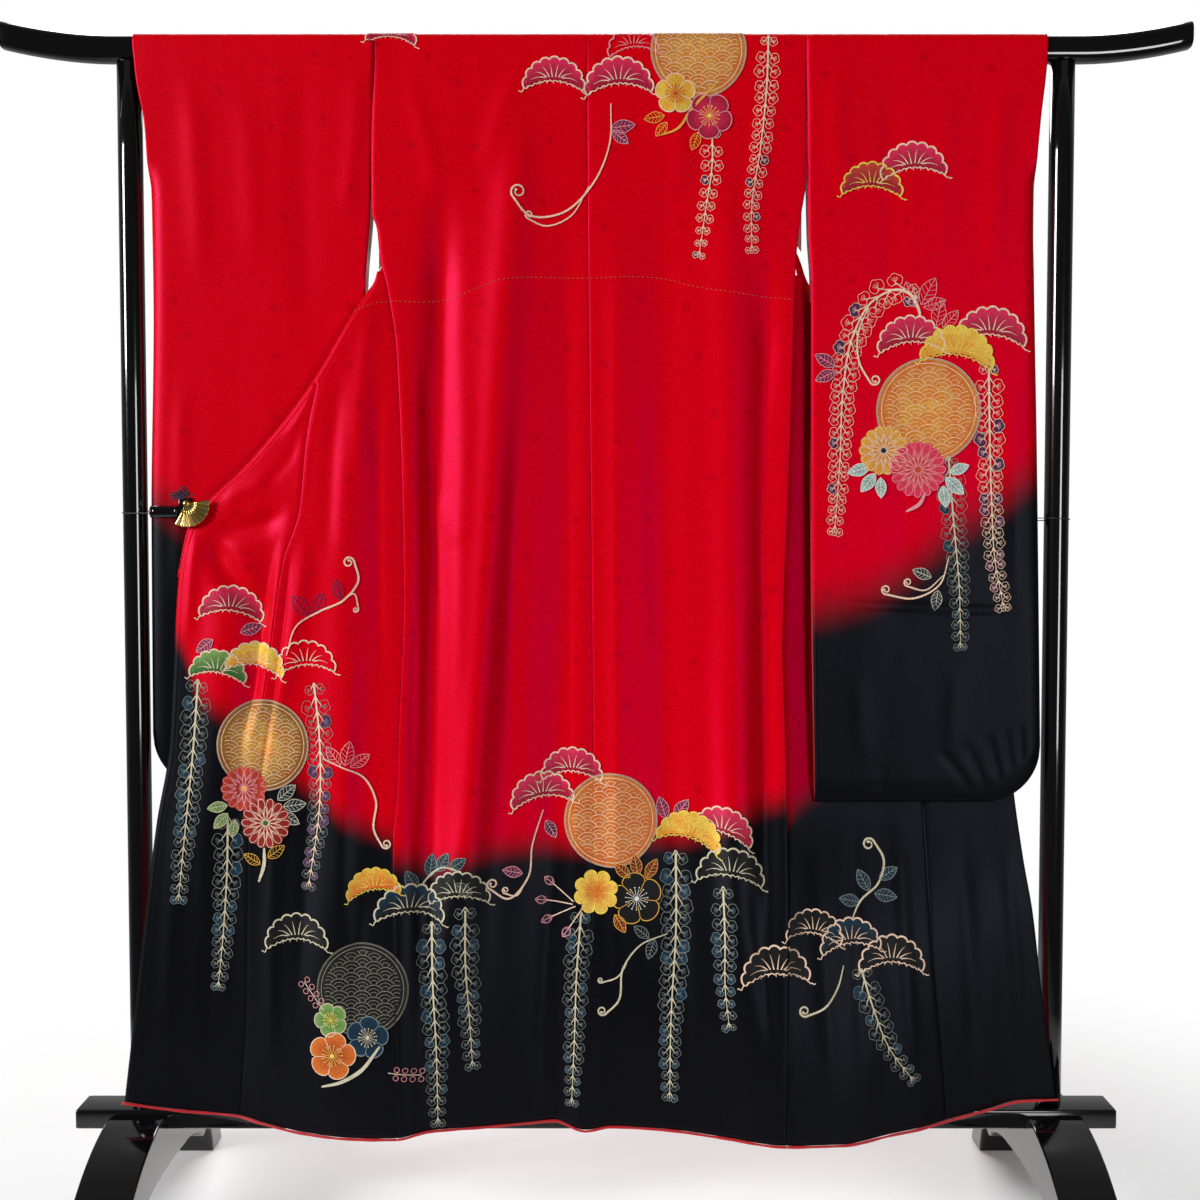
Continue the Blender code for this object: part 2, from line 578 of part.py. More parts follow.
def bar():
    # The top bar: a rounded section, straight between the posts and curving up to square ends.
    half_y = BAR_DEEP / 2
    half_z = BAR_HIGH / 2
    section = bar_section(half_y, half_z)
    ends = np.linspace(0, 1, 7)
    right = BAR_STRAIGHT + (BAR_HALF - BAR_STRAIGHT) * ends
    stations = np.concatenate([-right[::-1], right])
    rise = BAR_RISE * np.clip((np.abs(stations) - BAR_STRAIGHT) / (BAR_HALF - BAR_STRAIGHT), 0, 1) ** 1.8
    points = []
    for x, lift in zip(stations, rise):
        for y, z in section:
            points.append((x, y, BAR_TOP - half_z + lift + z))
    sides = len(section)
    faces = []
    for i in range(len(stations) - 1):
        for j in range(sides):
            a = i * sides + j
            b = i * sides + (j + 1) % sides
            faces.append((a, b, b + sides, a + sides))
    faces.append(tuple(range(sides))[::-1])
    faces.append(tuple((len(stations) - 1) * sides + j for j in range(sides)))
    return solid("stand_bar", points, faces, LACQUER, 0.12)


def bar_section(half_y, half_z):
    # A rounded rectangle, anticlockwise seen from +X.
    points = []
    for quarter in range(4):
        centre_y = (half_y - BAR_CORNER) * (1, -1, -1, 1)[quarter]
        centre_z = (half_z - BAR_CORNER) * (1, 1, -1, -1)[quarter]
        for k in range(4):
            angle = math.radians(90 * quarter + 30 * k)
            points.append((centre_y + BAR_CORNER * math.cos(angle), centre_z + BAR_CORNER * math.sin(angle)))
    return points


def round_bar(name, start, end, radius, sides, colour, rough, metal=0.0):
    axis = Vector(end) - Vector(start)
    mesh_data = bpy.data.meshes.new(name)
    form = bmesh.new()
    size = {"radius1": radius, "radius2": radius, "depth": axis.length}
    bmesh.ops.create_cone(form, cap_ends=True, segments=sides, **size)
    turn = axis.to_track_quat("Z", "Y").to_matrix().to_4x4()
    place = Matrix.Translation((Vector(start) + Vector(end)) / 2)
    bmesh.ops.transform(form, matrix=place @ turn, verts=form.verts)
    form.to_mesh(mesh_data)
    form.free()
    return finish(name, mesh_data, colour, rough, metal)


def block(name, centre, size, edge, colour, rough):
    mesh_data = bpy.data.meshes.new(name)
    form = bmesh.new()
    bmesh.ops.create_cube(form, size=1.0)
    place = Matrix.Translation(centre) @ Matrix.Diagonal((*size, 1.0))
    bmesh.ops.transform(form, matrix=place, verts=form.verts)
    bmesh.ops.bevel(form, geom=form.edges[:], offset=edge, segments=2, profile=0.5, affect="EDGES")
    form.to_mesh(mesh_data)
    form.free()
    return finish(name, mesh_data, colour, rough)


def foot(name, x):
    # An arched block from front to back, notched for the board, standing on a flat pad at each toe.
    notch = BOARD_DEEP / 2 + SEAM_GAP
    notch_z = BOARD_TOP - BOARD_THICK - SEAM_GAP
    half = [(notch, notch_z), (notch, FOOT_CROWN)]
    half += list(FOOT_TOP)
    half += [(FOOT_TIP, 0.0)]
    half += list(FOOT_UNDER)
    outline = half + [(0.0, FOOT_MIDDLE)] + [(-y, z) for y, z in reversed(half)]
    count = len(outline)
    points = [(x + side * FOOT_WIDE / 2, y, z) for side in (-1, 1) for y, z in outline]
    faces = [tuple(range(count)), tuple(range(2 * count - 1, count - 1, -1))]
    for k in range(count):
        n = (k + 1) % count
        faces.append((n, k, k + count, n + count))
    return solid(name, points, faces, LACQUER, 0.12, smooth=False)


def fan():
    # A folding fan spread about its pin: a pleated sector between two arcs.
    steps = FAN_RIBS * 2
    angles = np.radians(FAN_FROM + (FAN_TO - FAN_FROM) * np.linspace(0, 1, steps + 1))[:, None]
    radii = np.array([[PIN_RADIUS + 0.0004, FAN_BAND, FAN_RADIUS]])
    pleat = FAN_PLEAT * np.where(np.arange(steps + 1) % 2 == 0, 1.0, -1.0)[:, None]
    pleat = pleat * np.clip((radii - FAN_PLEAT_FROM) / FAN_BAND, 0, 1)
    x = PIN_AT[0] + radii * np.cos(angles)
    z = PIN_AT[1] + radii * np.sin(angles)
    near = np.stack([x, FAN_Y - FAN_THICK + pleat + 0 * x, z], axis=2)
    far = np.stack([x, FAN_Y + pleat + 0 * x, z], axis=2)
    return wall("clip_fan", near, far, GOLD, 0.3)


def knot():
    # The cord's knot above the fan: a flattened round lump.
    mesh_data = bpy.data.meshes.new("clip_knot")
    form = bmesh.new()
    bmesh.ops.create_uvsphere(form, u_segments=12, v_segments=8, radius=1.0)
    place = Matrix.Translation(KNOT_AT) @ Matrix.Diagonal((*KNOT_SIZE, 1.0))
    bmesh.ops.transform(form, matrix=place, verts=form.verts)
    form.to_mesh(mesh_data)
    form.free()
    return finish("clip_knot", mesh_data, PURPLE, 0.7)


def thread(name, side, end_x, end_y, z):
    # A tie from the rod's end round the post and back: two straight runs and the wrap between them.
    centre = np.array([side * POST_X, 0.0])
    tip = np.array([end_x, end_y])
    radius = POST_RADIUS + SEAM_GAP + THREAD_RADIUS
    offset = tip - centre
    reach = math.acos(radius / np.linalg.norm(offset))
    heading = math.atan2(offset[1], offset[0])
    start = heading + reach
    end = heading - reach + 2 * math.pi
    turns = np.linspace(start, end, 17)
    wrap = [(centre[0] + radius * math.cos(a), centre[1] + radius * math.sin(a)) for a in turns]
    flat = [tip] + wrap + [tip]
    heights = z + np.linspace(THREAD_CLIMB, -THREAD_CLIMB, len(flat))
    path = [(p[0], p[1], h) for p, h in zip(flat, heights)]
    curve = bpy.data.curves.new(name, "CURVE")
    curve.dimensions = "3D"
    curve.bevel_depth = THREAD_RADIUS
    curve.bevel_resolution = 1
    curve.render_resolution_u = 0
    curve.use_fill_caps = True
    spline = curve.splines.new("POLY")
    spline.points.add(len(path) - 1)
    for point, co in zip(spline.points, path):
        point.co = (*co, 1.0)
    obj = bpy.data.objects.new(name, curve)
    bpy.context.collection.objects.link(obj)
    material = bpy.data.materials.new(name)
    material.use_nodes = True
    material.node_tree.nodes["Principled BSDF"].inputs["Base Color"].default_value = (0.01, 0.01, 0.01, 1.0)
    curve.materials.append(material)
    return obj


def make_garment():
    body("body_left", -1, LEFT_SEAM)
    body("body_right", 1, RIGHT_SEAM)
    gap = SEAM_GAP / 2
    seam_side = SEAM_GAP - COLLAR_SHOWS
    left, right = (LEFT_SEAM, FRONT_ROWS, 10), (RIGHT_SEAM, FRONT_ROWS, 10)
    ends = (LEFT_EDGE, LEFT_OKUMI), (LEFT_SEAM,)
    hanging_panel("front_left", *ends, *left, RED, COLLAR_SHOWS, gap)
    ends = (RIGHT_SEAM,), (RIGHT_EDGE, RIGHT_OKUMI)
    hanging_panel("front_right", *ends, *right, BLACK_DYE, gap, COLLAR_SHOWS, 0.12)
    left, right = (LEFT_SEAM, OKUMI_ROWS, 7), (RIGHT_SEAM, OKUMI_ROWS, 7)
    hanging_panel("okumi_left", (LEFT_EDGE,), (LEFT_OKUMI,), *left, RED, COLLAR_SHOWS, seam_side)
    hanging_panel("okumi_right", (RIGHT_OKUMI,), (RIGHT_EDGE,), *right, BLACK_DYE, seam_side, COLLAR_SHOWS)
    collar("collar_left", LEFT_COLLAR, -1)
    collar("collar_right", RIGHT_COLLAR, 1)
    neck_collar()
    sleeve("sleeve_left", LEFT_SLEEVE, -1, LEFT_SEAM, LEFT_SLEEVE_HEM)
    sleeve("sleeve_right", RIGHT_SLEEVE, 1, RIGHT_SEAM, RIGHT_SLEEVE_HEM)
    left_edge, left_okumi, left_side, centre = (float(line(t, HEM_LEVEL, 1)) for t in LEFT_LINES)
    right_side, right_okumi, right_edge = (float(line(t, HEM_LEVEL, 1)) for t in RIGHT_LINES)
    hem_roll("hem_left", (left_edge + COLLAR_SHOWS, left_okumi, left_side), (7, 10), DARK_RED)
    hem_roll("hem_back", (left_side, centre, right_side), (13, 13), DARK_RED)
    hem_roll("hem_right", (right_side, right_okumi, right_edge - COLLAR_SHOWS), (10, 7), DARK_RED)


def make_stand():
    bar()
    under = BAR_TOP - BAR_HIGH - SEAM_GAP
    for name, side in (("left", -1), ("right", 1)):
        x = side * POST_X
        foot_x = side * FOOT_X
        start = (x, 0.0, BOARD_TOP + SEAM_GAP)
        round_bar("stand_post_" + name, start, (x, 0.0, under), POST_RADIUS, 24, LACQUER, 0.12)
        foot("stand_foot_" + name, foot_x)
    board_at = Vector((0.0, 0.0, BOARD_TOP - BOARD_THICK / 2))
    board_size = (2 * BOARD_HALF, BOARD_DEEP, BOARD_THICK)
    block("stand_board", board_at, board_size, BOARD_EDGE, LACQUER, 0.12)


def make_clips():
    start = (LEFT_ROD[0], LEFT_ROD_Y, ROD_Z)
    round_bar("clip_rod_left", start, (LEFT_ROD[1], LEFT_ROD_Y, ROD_Z), ROD_RADIUS, 20, LACQUER, 0.2)
    start = (RIGHT_ROD[0], RIGHT_ROD_Y, RIGHT_ROD_Z)
    end = (RIGHT_ROD[1], RIGHT_ROD_Y, RIGHT_ROD_Z)
    round_bar("clip_rod_right", start, end, ROD_RADIUS, 20, LACQUER, 0.2)
    block("clip_jaw", Vector(JAW_AT), JAW_SIZE, JAW_EDGE, LACQUER, 0.3)
    pin_start = (PIN_AT[0], PIN_Y[0], PIN_AT[1])
    round_bar("clip_pin", pin_start, (PIN_AT[0], PIN_Y[1], PIN_AT[1]), PIN_RADIUS, 16, GOLD, 0.3, 1.0)
    fan()
    knot()
    stand_off = SEAM_GAP + THREAD_RADIUS
    thread("thread_left", -1, LEFT_ROD[0] - stand_off, LEFT_ROD_Y, ROD_Z)
    thread("thread_right", 1, RIGHT_ROD[1] + stand_off, RIGHT_ROD_Y, RIGHT_ROD_Z)


for old in list(bpy.data.objects):
    bpy.data.objects.remove(old, do_unlink=True)
make_stand()
make_garment()
make_clips()
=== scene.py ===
# A furisode kimono spread over a lacquered kimono stand, seen from its back.
# Metres. The origin is on the floor under the stand's centre, +X to the viewer's right, -Y to the viewer, +Z
# up.
import math

import bmesh
import bpy
import numpy as np
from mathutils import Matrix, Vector


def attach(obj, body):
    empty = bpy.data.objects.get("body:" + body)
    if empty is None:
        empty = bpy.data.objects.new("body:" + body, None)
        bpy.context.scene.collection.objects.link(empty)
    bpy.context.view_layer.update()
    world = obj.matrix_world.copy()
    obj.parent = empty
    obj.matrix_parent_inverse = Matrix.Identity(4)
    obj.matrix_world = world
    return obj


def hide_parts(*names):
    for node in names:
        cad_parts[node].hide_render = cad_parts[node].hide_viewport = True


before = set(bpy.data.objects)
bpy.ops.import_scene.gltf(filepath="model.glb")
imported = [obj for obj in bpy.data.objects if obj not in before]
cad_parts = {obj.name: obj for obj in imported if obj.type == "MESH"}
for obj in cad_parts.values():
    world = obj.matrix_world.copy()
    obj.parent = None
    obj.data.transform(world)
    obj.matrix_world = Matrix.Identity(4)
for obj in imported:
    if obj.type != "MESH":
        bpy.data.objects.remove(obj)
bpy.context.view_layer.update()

# The stand's and the cloth's own sizes.
cloth = {"bodyWall": 0.0016, "sleeveWall": 0.0012, "seamGap": 0.0003, "seamDip": 0.0013, "seamWide": 0.0032,
         "tuck": 0.0014, "tuckDeep": 0.0011, "rim": 0.0010, "overBar": 0.0025, "edgeIn": 0.004,
         "okumiOver": 0.0037, "freeBelow": 0.004, "bagOpen": 0.035, "edgeRound": 0.022,
         "bagLeast": 0.0009, "sleeveDyeSoft": 0.055, "okumiSwitch": 0.0038, "okumiFrom": 1.25,
         "okumiTop": 1.2588, "hangShare": 19 / 24, "hemDrop": 0.0004, "hemRoll": 0.0020, "collarThick": 0.0038,
         "wristOpen": 0.230, "sleeveCorner": 0.085, "leftSleeveHem": 0.655, "rightSleeveHem": 0.640}
stand = {"barTop": 1.7705, "barHigh": 0.038, "barDeep": 0.034, "barCorner": 0.012, "barHalf": 0.875,
         "barStraight": 0.715, "barRise": 0.021, "postX": 0.688, "postRadius": 0.018, "boardTop": 0.175,
         "boardThick": 0.029, "boardHalf": 0.782, "boardDeep": 0.062, "footX": 0.687, "footWide": 0.083,
         "footCrown": 0.165, "footTip": 0.300, "footMiddle": 0.0850, "seat": 0.0003}
overHalf = stand["barDeep"] / 2 + cloth["overBar"]
overCorner = stand["barCorner"] + cloth["overBar"]
overTop = stand["barTop"] + cloth["overBar"]
bendZ = overTop - overCorner
underBend = bendZ - cloth["freeBelow"]
# The neck: its cut, the band, its mitred ends, and where and how far the fronts clear the collar.
neck = {"half": 0.108, "drop": 1.752, "slope": 1.5, "band": 0.050, "farY": 0.0215, "mitre": (0.472, 0.882),
        "turnRoom": 0.0065, "turnFrom": 0.245, "turnOver": 0.045}

# Seam lines, a row for each height: z, x, y.
leftSeam = (
    (1.760, -0.3230, -0.0195), (1.580, -0.3280, -0.0240), (1.513, -0.3280, -0.0250), (1.487, -0.3200, -0.0260),
    (1.440, -0.3150, -0.0285), (1.396, -0.3050, -0.0320), (1.309, -0.2920, -0.0390), (1.089, -0.2830, -0.0500),
    (0.942, -0.2810, -0.0550), (0.766, -0.2880, -0.0600), (0.649, -0.2920, -0.0650), (0.590, -0.2970, -0.0690),
    (0.460, -0.2930, -0.0790), (0.289, -0.2890, -0.1000), (0.150, -0.2880, -0.1150),
)
centreSeam = (
    (1.760, -0.0130, -0.0195), (1.528, -0.0120, -0.0240), (1.236, -0.0090, -0.0280), (0.942, -0.0060, -0.0320),
    (0.645, -0.0040, -0.0400), (0.496, -0.0060, -0.0480), (0.348, -0.0120, -0.0600), (0.150, -0.0160, -0.0750),
)
rightSeam = (
    (1.760, 0.3070, -0.0195), (1.567, 0.3090, -0.0240), (1.500, 0.3000, -0.0260), (1.433, 0.2930, -0.0280),
    (1.382, 0.2915, -0.0300), (1.119, 0.2840, -0.0330), (0.868, 0.2760, -0.0370), (0.735, 0.2800, -0.0420),
    (0.617, 0.2820, -0.0500), (0.501, 0.2810, -0.0640), (0.358, 0.2780, -0.0860), (0.150, 0.2760, -0.1150),
)
leftOkumi = (
    (1.259, -0.4110, -0.0450), (1.182, -0.4260, -0.0500), (1.073, -0.4370, -0.0550), (0.998, -0.4610, -0.0580),
    (0.931, -0.4720, -0.0580), (0.805, -0.4900, -0.0580), (0.723, -0.5110, -0.0600), (0.576, -0.5150, -0.0620),
    (0.354, -0.5180, -0.0660), (0.150, -0.5320, -0.0700),
)
rightOkumi = (
    (1.259, 0.4100, 0.0020), (1.080, 0.4300, 0.0020), (0.890, 0.4680, 0.0020), (0.720, 0.4880, -0.0030),
    (0.620, 0.4940, -0.0100), (0.428, 0.5000, -0.0380), (0.260, 0.5140, -0.0560), (0.150, 0.5240, -0.0660),
)
leftEdge = (
    (1.431, -0.3215, -0.0290), (1.403, -0.3290, -0.0330), (1.344, -0.3660, -0.0410), (1.259, -0.4170, -0.0445),
    (1.140, -0.5130, -0.0460), (1.089, -0.5670, -0.0470), (1.052, -0.5970, -0.0470), (0.976, -0.6150, -0.0470),
    (0.825, -0.6250, -0.0480), (0.719, -0.6320, -0.0500), (0.615, -0.6500, -0.0530), (0.467, -0.6680, -0.0560),
    (0.361, -0.6800, -0.0600), (0.150, -0.7060, -0.0660),
)
rightEdge = (
    (1.431, 0.3040, -0.0080), (1.403, 0.3190, 0.0010), (1.344, 0.3600, 0.0015), (1.259, 0.4150, 0.0020),
    (1.140, 0.5100, 0.0020), (1.089, 0.5620, 0.0020), (1.052, 0.5920, 0.0020), (0.976, 0.6080, 0.0020),
    (0.825, 0.6180, 0.0010), (0.657, 0.6310, -0.0080), (0.555, 0.6420, -0.0220), (0.476, 0.6540, -0.0320),
    (0.367, 0.6660, -0.0380), (0.150, 0.6950, -0.0460),
)
# The hem as it hangs: x, y, z.
hemRows = (
    (-0.706, -0.066, 0.202), (-0.607, -0.066, 0.189), (-0.532, -0.070, 0.184), (-0.493, -0.080, 0.177),
    (-0.432, -0.095, 0.168), (-0.361, -0.110, 0.165), (-0.288, -0.115, 0.166), (-0.242, -0.100, 0.172),
    (-0.170, -0.085, 0.172), (-0.097, -0.070, 0.173), (-0.061, -0.064, 0.174), (-0.016, -0.074, 0.162),
    (0.021, -0.070, 0.167), (0.094, -0.080, 0.167), (0.181, -0.095, 0.161), (0.276, -0.115, 0.155),
    (0.357, -0.110, 0.155), (0.435, -0.090, 0.163), (0.475, -0.080, 0.167), (0.526, -0.066, 0.176),
    (0.585, -0.055, 0.187), (0.633, -0.048, 0.197), (0.695, -0.046, 0.199),
)
hemReach = 0.70
# Long folds: x at the top, x at the hem, top z, half width, outward at the top and at the hem.
longFolds = (
    (-0.112, -0.214, 1.70, 0.030, 0.0070, 0.0220), (0.030, 0.030, 1.50, 0.022, 0.0030, 0.0080),
    (0.190, 0.216, 1.64, 0.032, 0.0055, 0.0190), (-0.224, -0.254, 1.56, 0.023, -0.0125, -0.0170),
    (-0.030, -0.075, 1.56, 0.030, -0.0030, -0.0110), (0.096, 0.110, 1.56, 0.030, -0.0035, -0.0110),
    (0.254, 0.256, 1.46, 0.020, -0.0080, -0.0090), (-0.355, -0.400, 1.30, 0.034, 0.0060, 0.0130),
    (-0.545, -0.590, 1.04, 0.030, 0.0070, 0.0040), (-0.480, -0.560, 1.10, 0.024, -0.0050, -0.0040),
    (0.380, 0.420, 0.62, 0.032, 0.0010, 0.0090), (0.570, 0.590, 0.60, 0.030, 0.0010, 0.0060),
)
# Sleeves: z, inner edge x, outer edge x, near face y, far face y.
leftSleeve = (
    (bendZ, -0.3235, -0.6780, -0.0195, 0.0195), (1.700, -0.3242, -0.6720, -0.0205, 0.0205),
    (1.640, -0.3265, -0.6620, -0.0185, 0.0195), (1.580, -0.3290, -0.6590, -0.0170, 0.0185),
    (1.515, -0.3315, -0.6575, -0.0155, 0.0170), (1.400, -0.3400, -0.6570, -0.0125, 0.0140),
    (1.060, -0.3430, -0.6645, -0.0090, 0.0110), (0.640, -0.3440, -0.6670, -0.0070, 0.0090),
)
rightSleeve = (
    (bendZ, 0.3075, 0.6610, -0.0195, 0.0195), (1.730, 0.3080, 0.6600, -0.0197, 0.0193),
    (1.640, 0.3100, 0.6510, -0.0205, 0.0125), (1.567, 0.3105, 0.6460, -0.0211, 0.0070),
    (1.480, 0.3120, 0.6450, -0.0218, 0.0010), (1.410, 0.3160, 0.6463, -0.0224, -0.0035),
    (1.162, 0.3175, 0.6530, -0.0245, -0.0062), (0.620, 0.3265, 0.6640, -0.0300, -0.0162),
)
# Collars: x, y of the far face, z, width.
leftCollar = (
    (-0.1083, 0.0255, 1.7515, 0.0570), (-0.1560, 0.0255, 1.6800, 0.0500), (-0.2360, 0.0255, 1.5600, 0.0440),
    (-0.2900, 0.0235, 1.4790, 0.0260), (-0.3120, 0.0150, 1.4460, 0.0120), (-0.3225, -0.0040, 1.4250, 0.0100),
    (-0.3265, -0.0210, 1.4080, 0.0120), (-0.3380, -0.0265, 1.3900, 0.0180), (-0.3660, -0.0320, 1.3440, 0.0300),
    (-0.4170, -0.0350, 1.2590, 0.0400), (-0.5130, -0.0385, 1.1400, 0.0440), (-0.5670, -0.0400, 1.0890, 0.0440),
    (-0.5975, -0.0400, 1.0520, 0.0440), (-0.6155, -0.0400, 0.9760, 0.0400),
)
rightCollar = (
    (0.1083, 0.0255, 1.7515, 0.0570), (0.1560, 0.0255, 1.6800, 0.0500), (0.2300, 0.0255, 1.5690, 0.0440),
    (0.2760, 0.0235, 1.5000, 0.0260), (0.2960, 0.0180, 1.4660, 0.0120), (0.3050, 0.0120, 1.4430, 0.0100),
    (0.3120, 0.0085, 1.4200, 0.0120), (0.3260, 0.0080, 1.3950, 0.0200), (0.3600, 0.0085, 1.3440, 0.0320),
    (0.4150, 0.0090, 1.2590, 0.0420), (0.5100, 0.0090, 1.1400, 0.0450), (0.5620, 0.0090, 1.0890, 0.0450),
    (0.5925, 0.0090, 1.0520, 0.0450), (0.6085, 0.0090, 0.9760, 0.0400),
)

# Small creases: from x, z to x, z, bow to the side, half width, outward (a trough is negative).
bodyCreases = (
    (-0.013, 1.752, -0.045, 1.700, 0.000, 0.006, -0.0016), (-0.013, 1.752, 0.022, 1.705, 0.000, 0.006, -0.0014),
    (-0.100, 1.735, -0.165, 1.560, 0.010, 0.016, 0.0024), (0.100, 1.735, 0.125, 1.530, -0.008, 0.016, 0.0022),
    (-0.285, 1.720, -0.235, 1.500, -0.012, 0.014, 0.0018), (0.270, 1.715, 0.225, 1.480, 0.010, 0.013, 0.0018),
    (-0.302, 1.370, -0.270, 1.060, 0.004, 0.010, 0.0026), (-0.250, 1.340, -0.228, 0.900, 0.006, 0.012, -0.0024),
    (-0.190, 1.330, -0.215, 0.700, -0.006, 0.014, 0.0022), (0.262, 1.330, 0.255, 0.880, 0.004, 0.010, 0.0020),
    (0.060, 1.330, 0.075, 0.760, 0.004, 0.015, 0.0018), (-0.110, 1.240, -0.130, 0.660, 0.006, 0.013, -0.0020),
    (0.180, 0.900, 0.215, 0.330, 0.006, 0.014, 0.0024), (-0.200, 0.640, -0.245, 0.220, 0.004, 0.013, 0.0024),
    (0.110, 0.620, 0.135, 0.210, -0.004, 0.012, -0.0024), (-0.060, 0.560, -0.085, 0.200, 0.003, 0.011, -0.0020),
    (-0.230, 1.100, -0.190, 1.020, 0.006, 0.020, 0.0012), (0.120, 1.180, 0.200, 1.120, 0.008, 0.022, 0.0010),
    (0.225, 0.560, 0.262, 0.260, 0.002, 0.010, -0.0022), (-0.265, 0.980, -0.268, 0.560, 0.003, 0.008, -0.0018),
)
leftCreases = (
    (-0.574, 1.048, -0.478, 0.900, 0.010, 0.018, -0.0110), (-0.590, 1.058, -0.603, 0.870, 0.004, 0.013, 0.0036),
    (-0.558, 1.076, -0.470, 1.120, -0.006, 0.013, 0.0030),
    (-0.575, 1.044, -0.450, 1.076, 0.012, 0.015, -0.0060),
    (-0.447, 1.060, -0.512, 0.600, -0.008, 0.0040, -0.0030),
    (-0.472, 1.050, -0.522, 0.700, -0.006, 0.019, -0.0064),
    (-0.424, 1.060, -0.480, 0.740, -0.008, 0.014, 0.0042), (-0.410, 1.250, -0.440, 1.060, 0.003, 0.006, 0.0024),
    (-0.330, 1.390, -0.345, 1.100, 0.006, 0.014, 0.0028), (-0.372, 1.300, -0.392, 0.980, 0.006, 0.013, -0.0026),
    (-0.318, 1.300, -0.316, 0.800, 0.003, 0.010, -0.0022), (-0.350, 0.900, -0.372, 0.420, 0.005, 0.014, 0.0026),
    (-0.420, 0.820, -0.440, 0.300, -0.005, 0.013, -0.0026),
    (-0.470, 0.700, -0.478, 0.230, 0.004, 0.012, 0.0030), (-0.555, 0.720, -0.575, 0.240, 0.003, 0.012, -0.0024),
    (-0.610, 0.700, -0.640, 0.260, 0.003, 0.013, 0.0024), (-0.340, 0.560, -0.352, 0.200, 0.002, 0.011, -0.0022),
    (-0.500, 1.100, -0.430, 1.190, 0.008, 0.010, -0.0018), (-0.470, 1.170, -0.400, 1.262, 0.004, 0.008, 0.0016),
)
rightCreases = (
    (0.330, 0.600, 0.345, 0.200, 0.003, 0.013, 0.0028), (0.385, 0.630, 0.392, 0.230, 0.003, 0.012, -0.0026),
    (0.455, 0.640, 0.470, 0.220, 0.003, 0.012, 0.0026), (0.545, 0.620, 0.565, 0.220, -0.003, 0.013, -0.0022),
    (0.615, 0.600, 0.640, 0.240, 0.002, 0.011, 0.0020), (0.420, 1.120, 0.410, 0.760, 0.005, 0.014, 0.0026),
    (0.520, 1.020, 0.540, 0.700, 0.004, 0.013, -0.0024),
)
sleeveCreases = (
    (0.350, 1.740, 0.372, 1.480, 0.006, 0.014, 0.0022), (0.430, 1.745, 0.420, 1.300, -0.006, 0.018, -0.0020),
    (0.600, 1.740, 0.585, 1.380, 0.005, 0.016, 0.0024), (0.520, 1.720, 0.505, 1.420, 0.004, 0.017, 0.0016),
    (0.340, 1.330, 0.352, 0.960, 0.003, 0.013, 0.0018), (0.610, 1.300, 0.622, 0.900, -0.003, 0.013, 0.0020),
    (0.460, 1.200, 0.455, 0.850, 0.005, 0.020, -0.0014), (0.320, 0.939, 0.655, 0.925, 0.002, 0.004, -0.0034),
    (0.390, 0.840, 0.400, 0.690, 0.002, 0.012, 0.0014), (0.540, 0.850, 0.530, 0.700, 0.003, 0.014, 0.0014),
    (0.563, 0.646, 0.503, 0.725, 0.004, 0.0045, -0.0022), (0.582, 0.650, 0.540, 0.742, 0.003, 0.0045, -0.0020),
    (0.602, 0.661, 0.578, 0.750, 0.002, 0.0045, -0.0020), (0.619, 0.676, 0.606, 0.756, 0.001, 0.0045, -0.0018),
    (0.634, 0.696, 0.629, 0.760, 0.000, 0.0045, -0.0016), (0.420, 0.650, 0.426, 0.700, 0.001, 0.008, -0.0010),
)

# Where the dye turns from red above to black below: x, z.
bodyDye = ((-0.330, 0.585), (-0.297, 0.572), (-0.224, 0.556), (-0.161, 0.575), (-0.093, 0.582), (-0.009, 0.580),
           (0.070, 0.592), (0.120, 0.592), (0.171, 0.606), (0.220, 0.630), (0.276, 0.648), (0.300, 0.655))
leftDye = ((-0.720, 0.930), (-0.630, 0.912), (-0.620, 0.897), (-0.599, 0.852), (-0.583, 0.806), (-0.522, 0.764),
           (-0.490, 0.735), (-0.435, 0.680), (-0.391, 0.646), (-0.366, 0.625), (-0.299, 0.600))
rightDye = ((0.270, 0.605), (0.313, 0.646), (0.400, 0.700), (0.600, 0.860))
sleeveDye = ((0.300, 0.925), (0.318, 0.930), (0.399, 0.953), (0.461, 0.988), (0.518, 1.037), (0.572, 1.077),
             (0.620, 1.112), (0.657, 1.141), (0.680, 1.156))
leftSleeveDye = ((0.300, 0.890), (0.400, 0.915), (0.500, 0.965), (0.572, 1.030), (0.620, 1.066), (0.657, 1.096),
                 (0.680, 1.110))


def colour(red, green, blue):
    # Linear colour from the usual 0 to 255 numbers.
    value = np.array([red, green, blue]) / 255
    return tuple(np.where(value <= 0.04045, value / 12.92, ((value + 0.055) / 1.055) ** 2.4))


def smooth(value):
    value = np.clip(value, 0, 1)
    return value * value * (3 - 2 * value)


def unit(vectors):
    return vectors / np.linalg.norm(vectors, axis=1)[:, None]


def roundPairs(count):
    # A circle of radius 1 as pairs going round.
    turn = np.arange(count) * 2 * math.pi / count
    return np.stack([np.cos(turn), np.sin(turn)], axis=1)


def roundSpots(count):
    # The same as plan points.
    return np.exp(1j * np.linspace(0, 2 * math.pi, count + 1)[:-1])


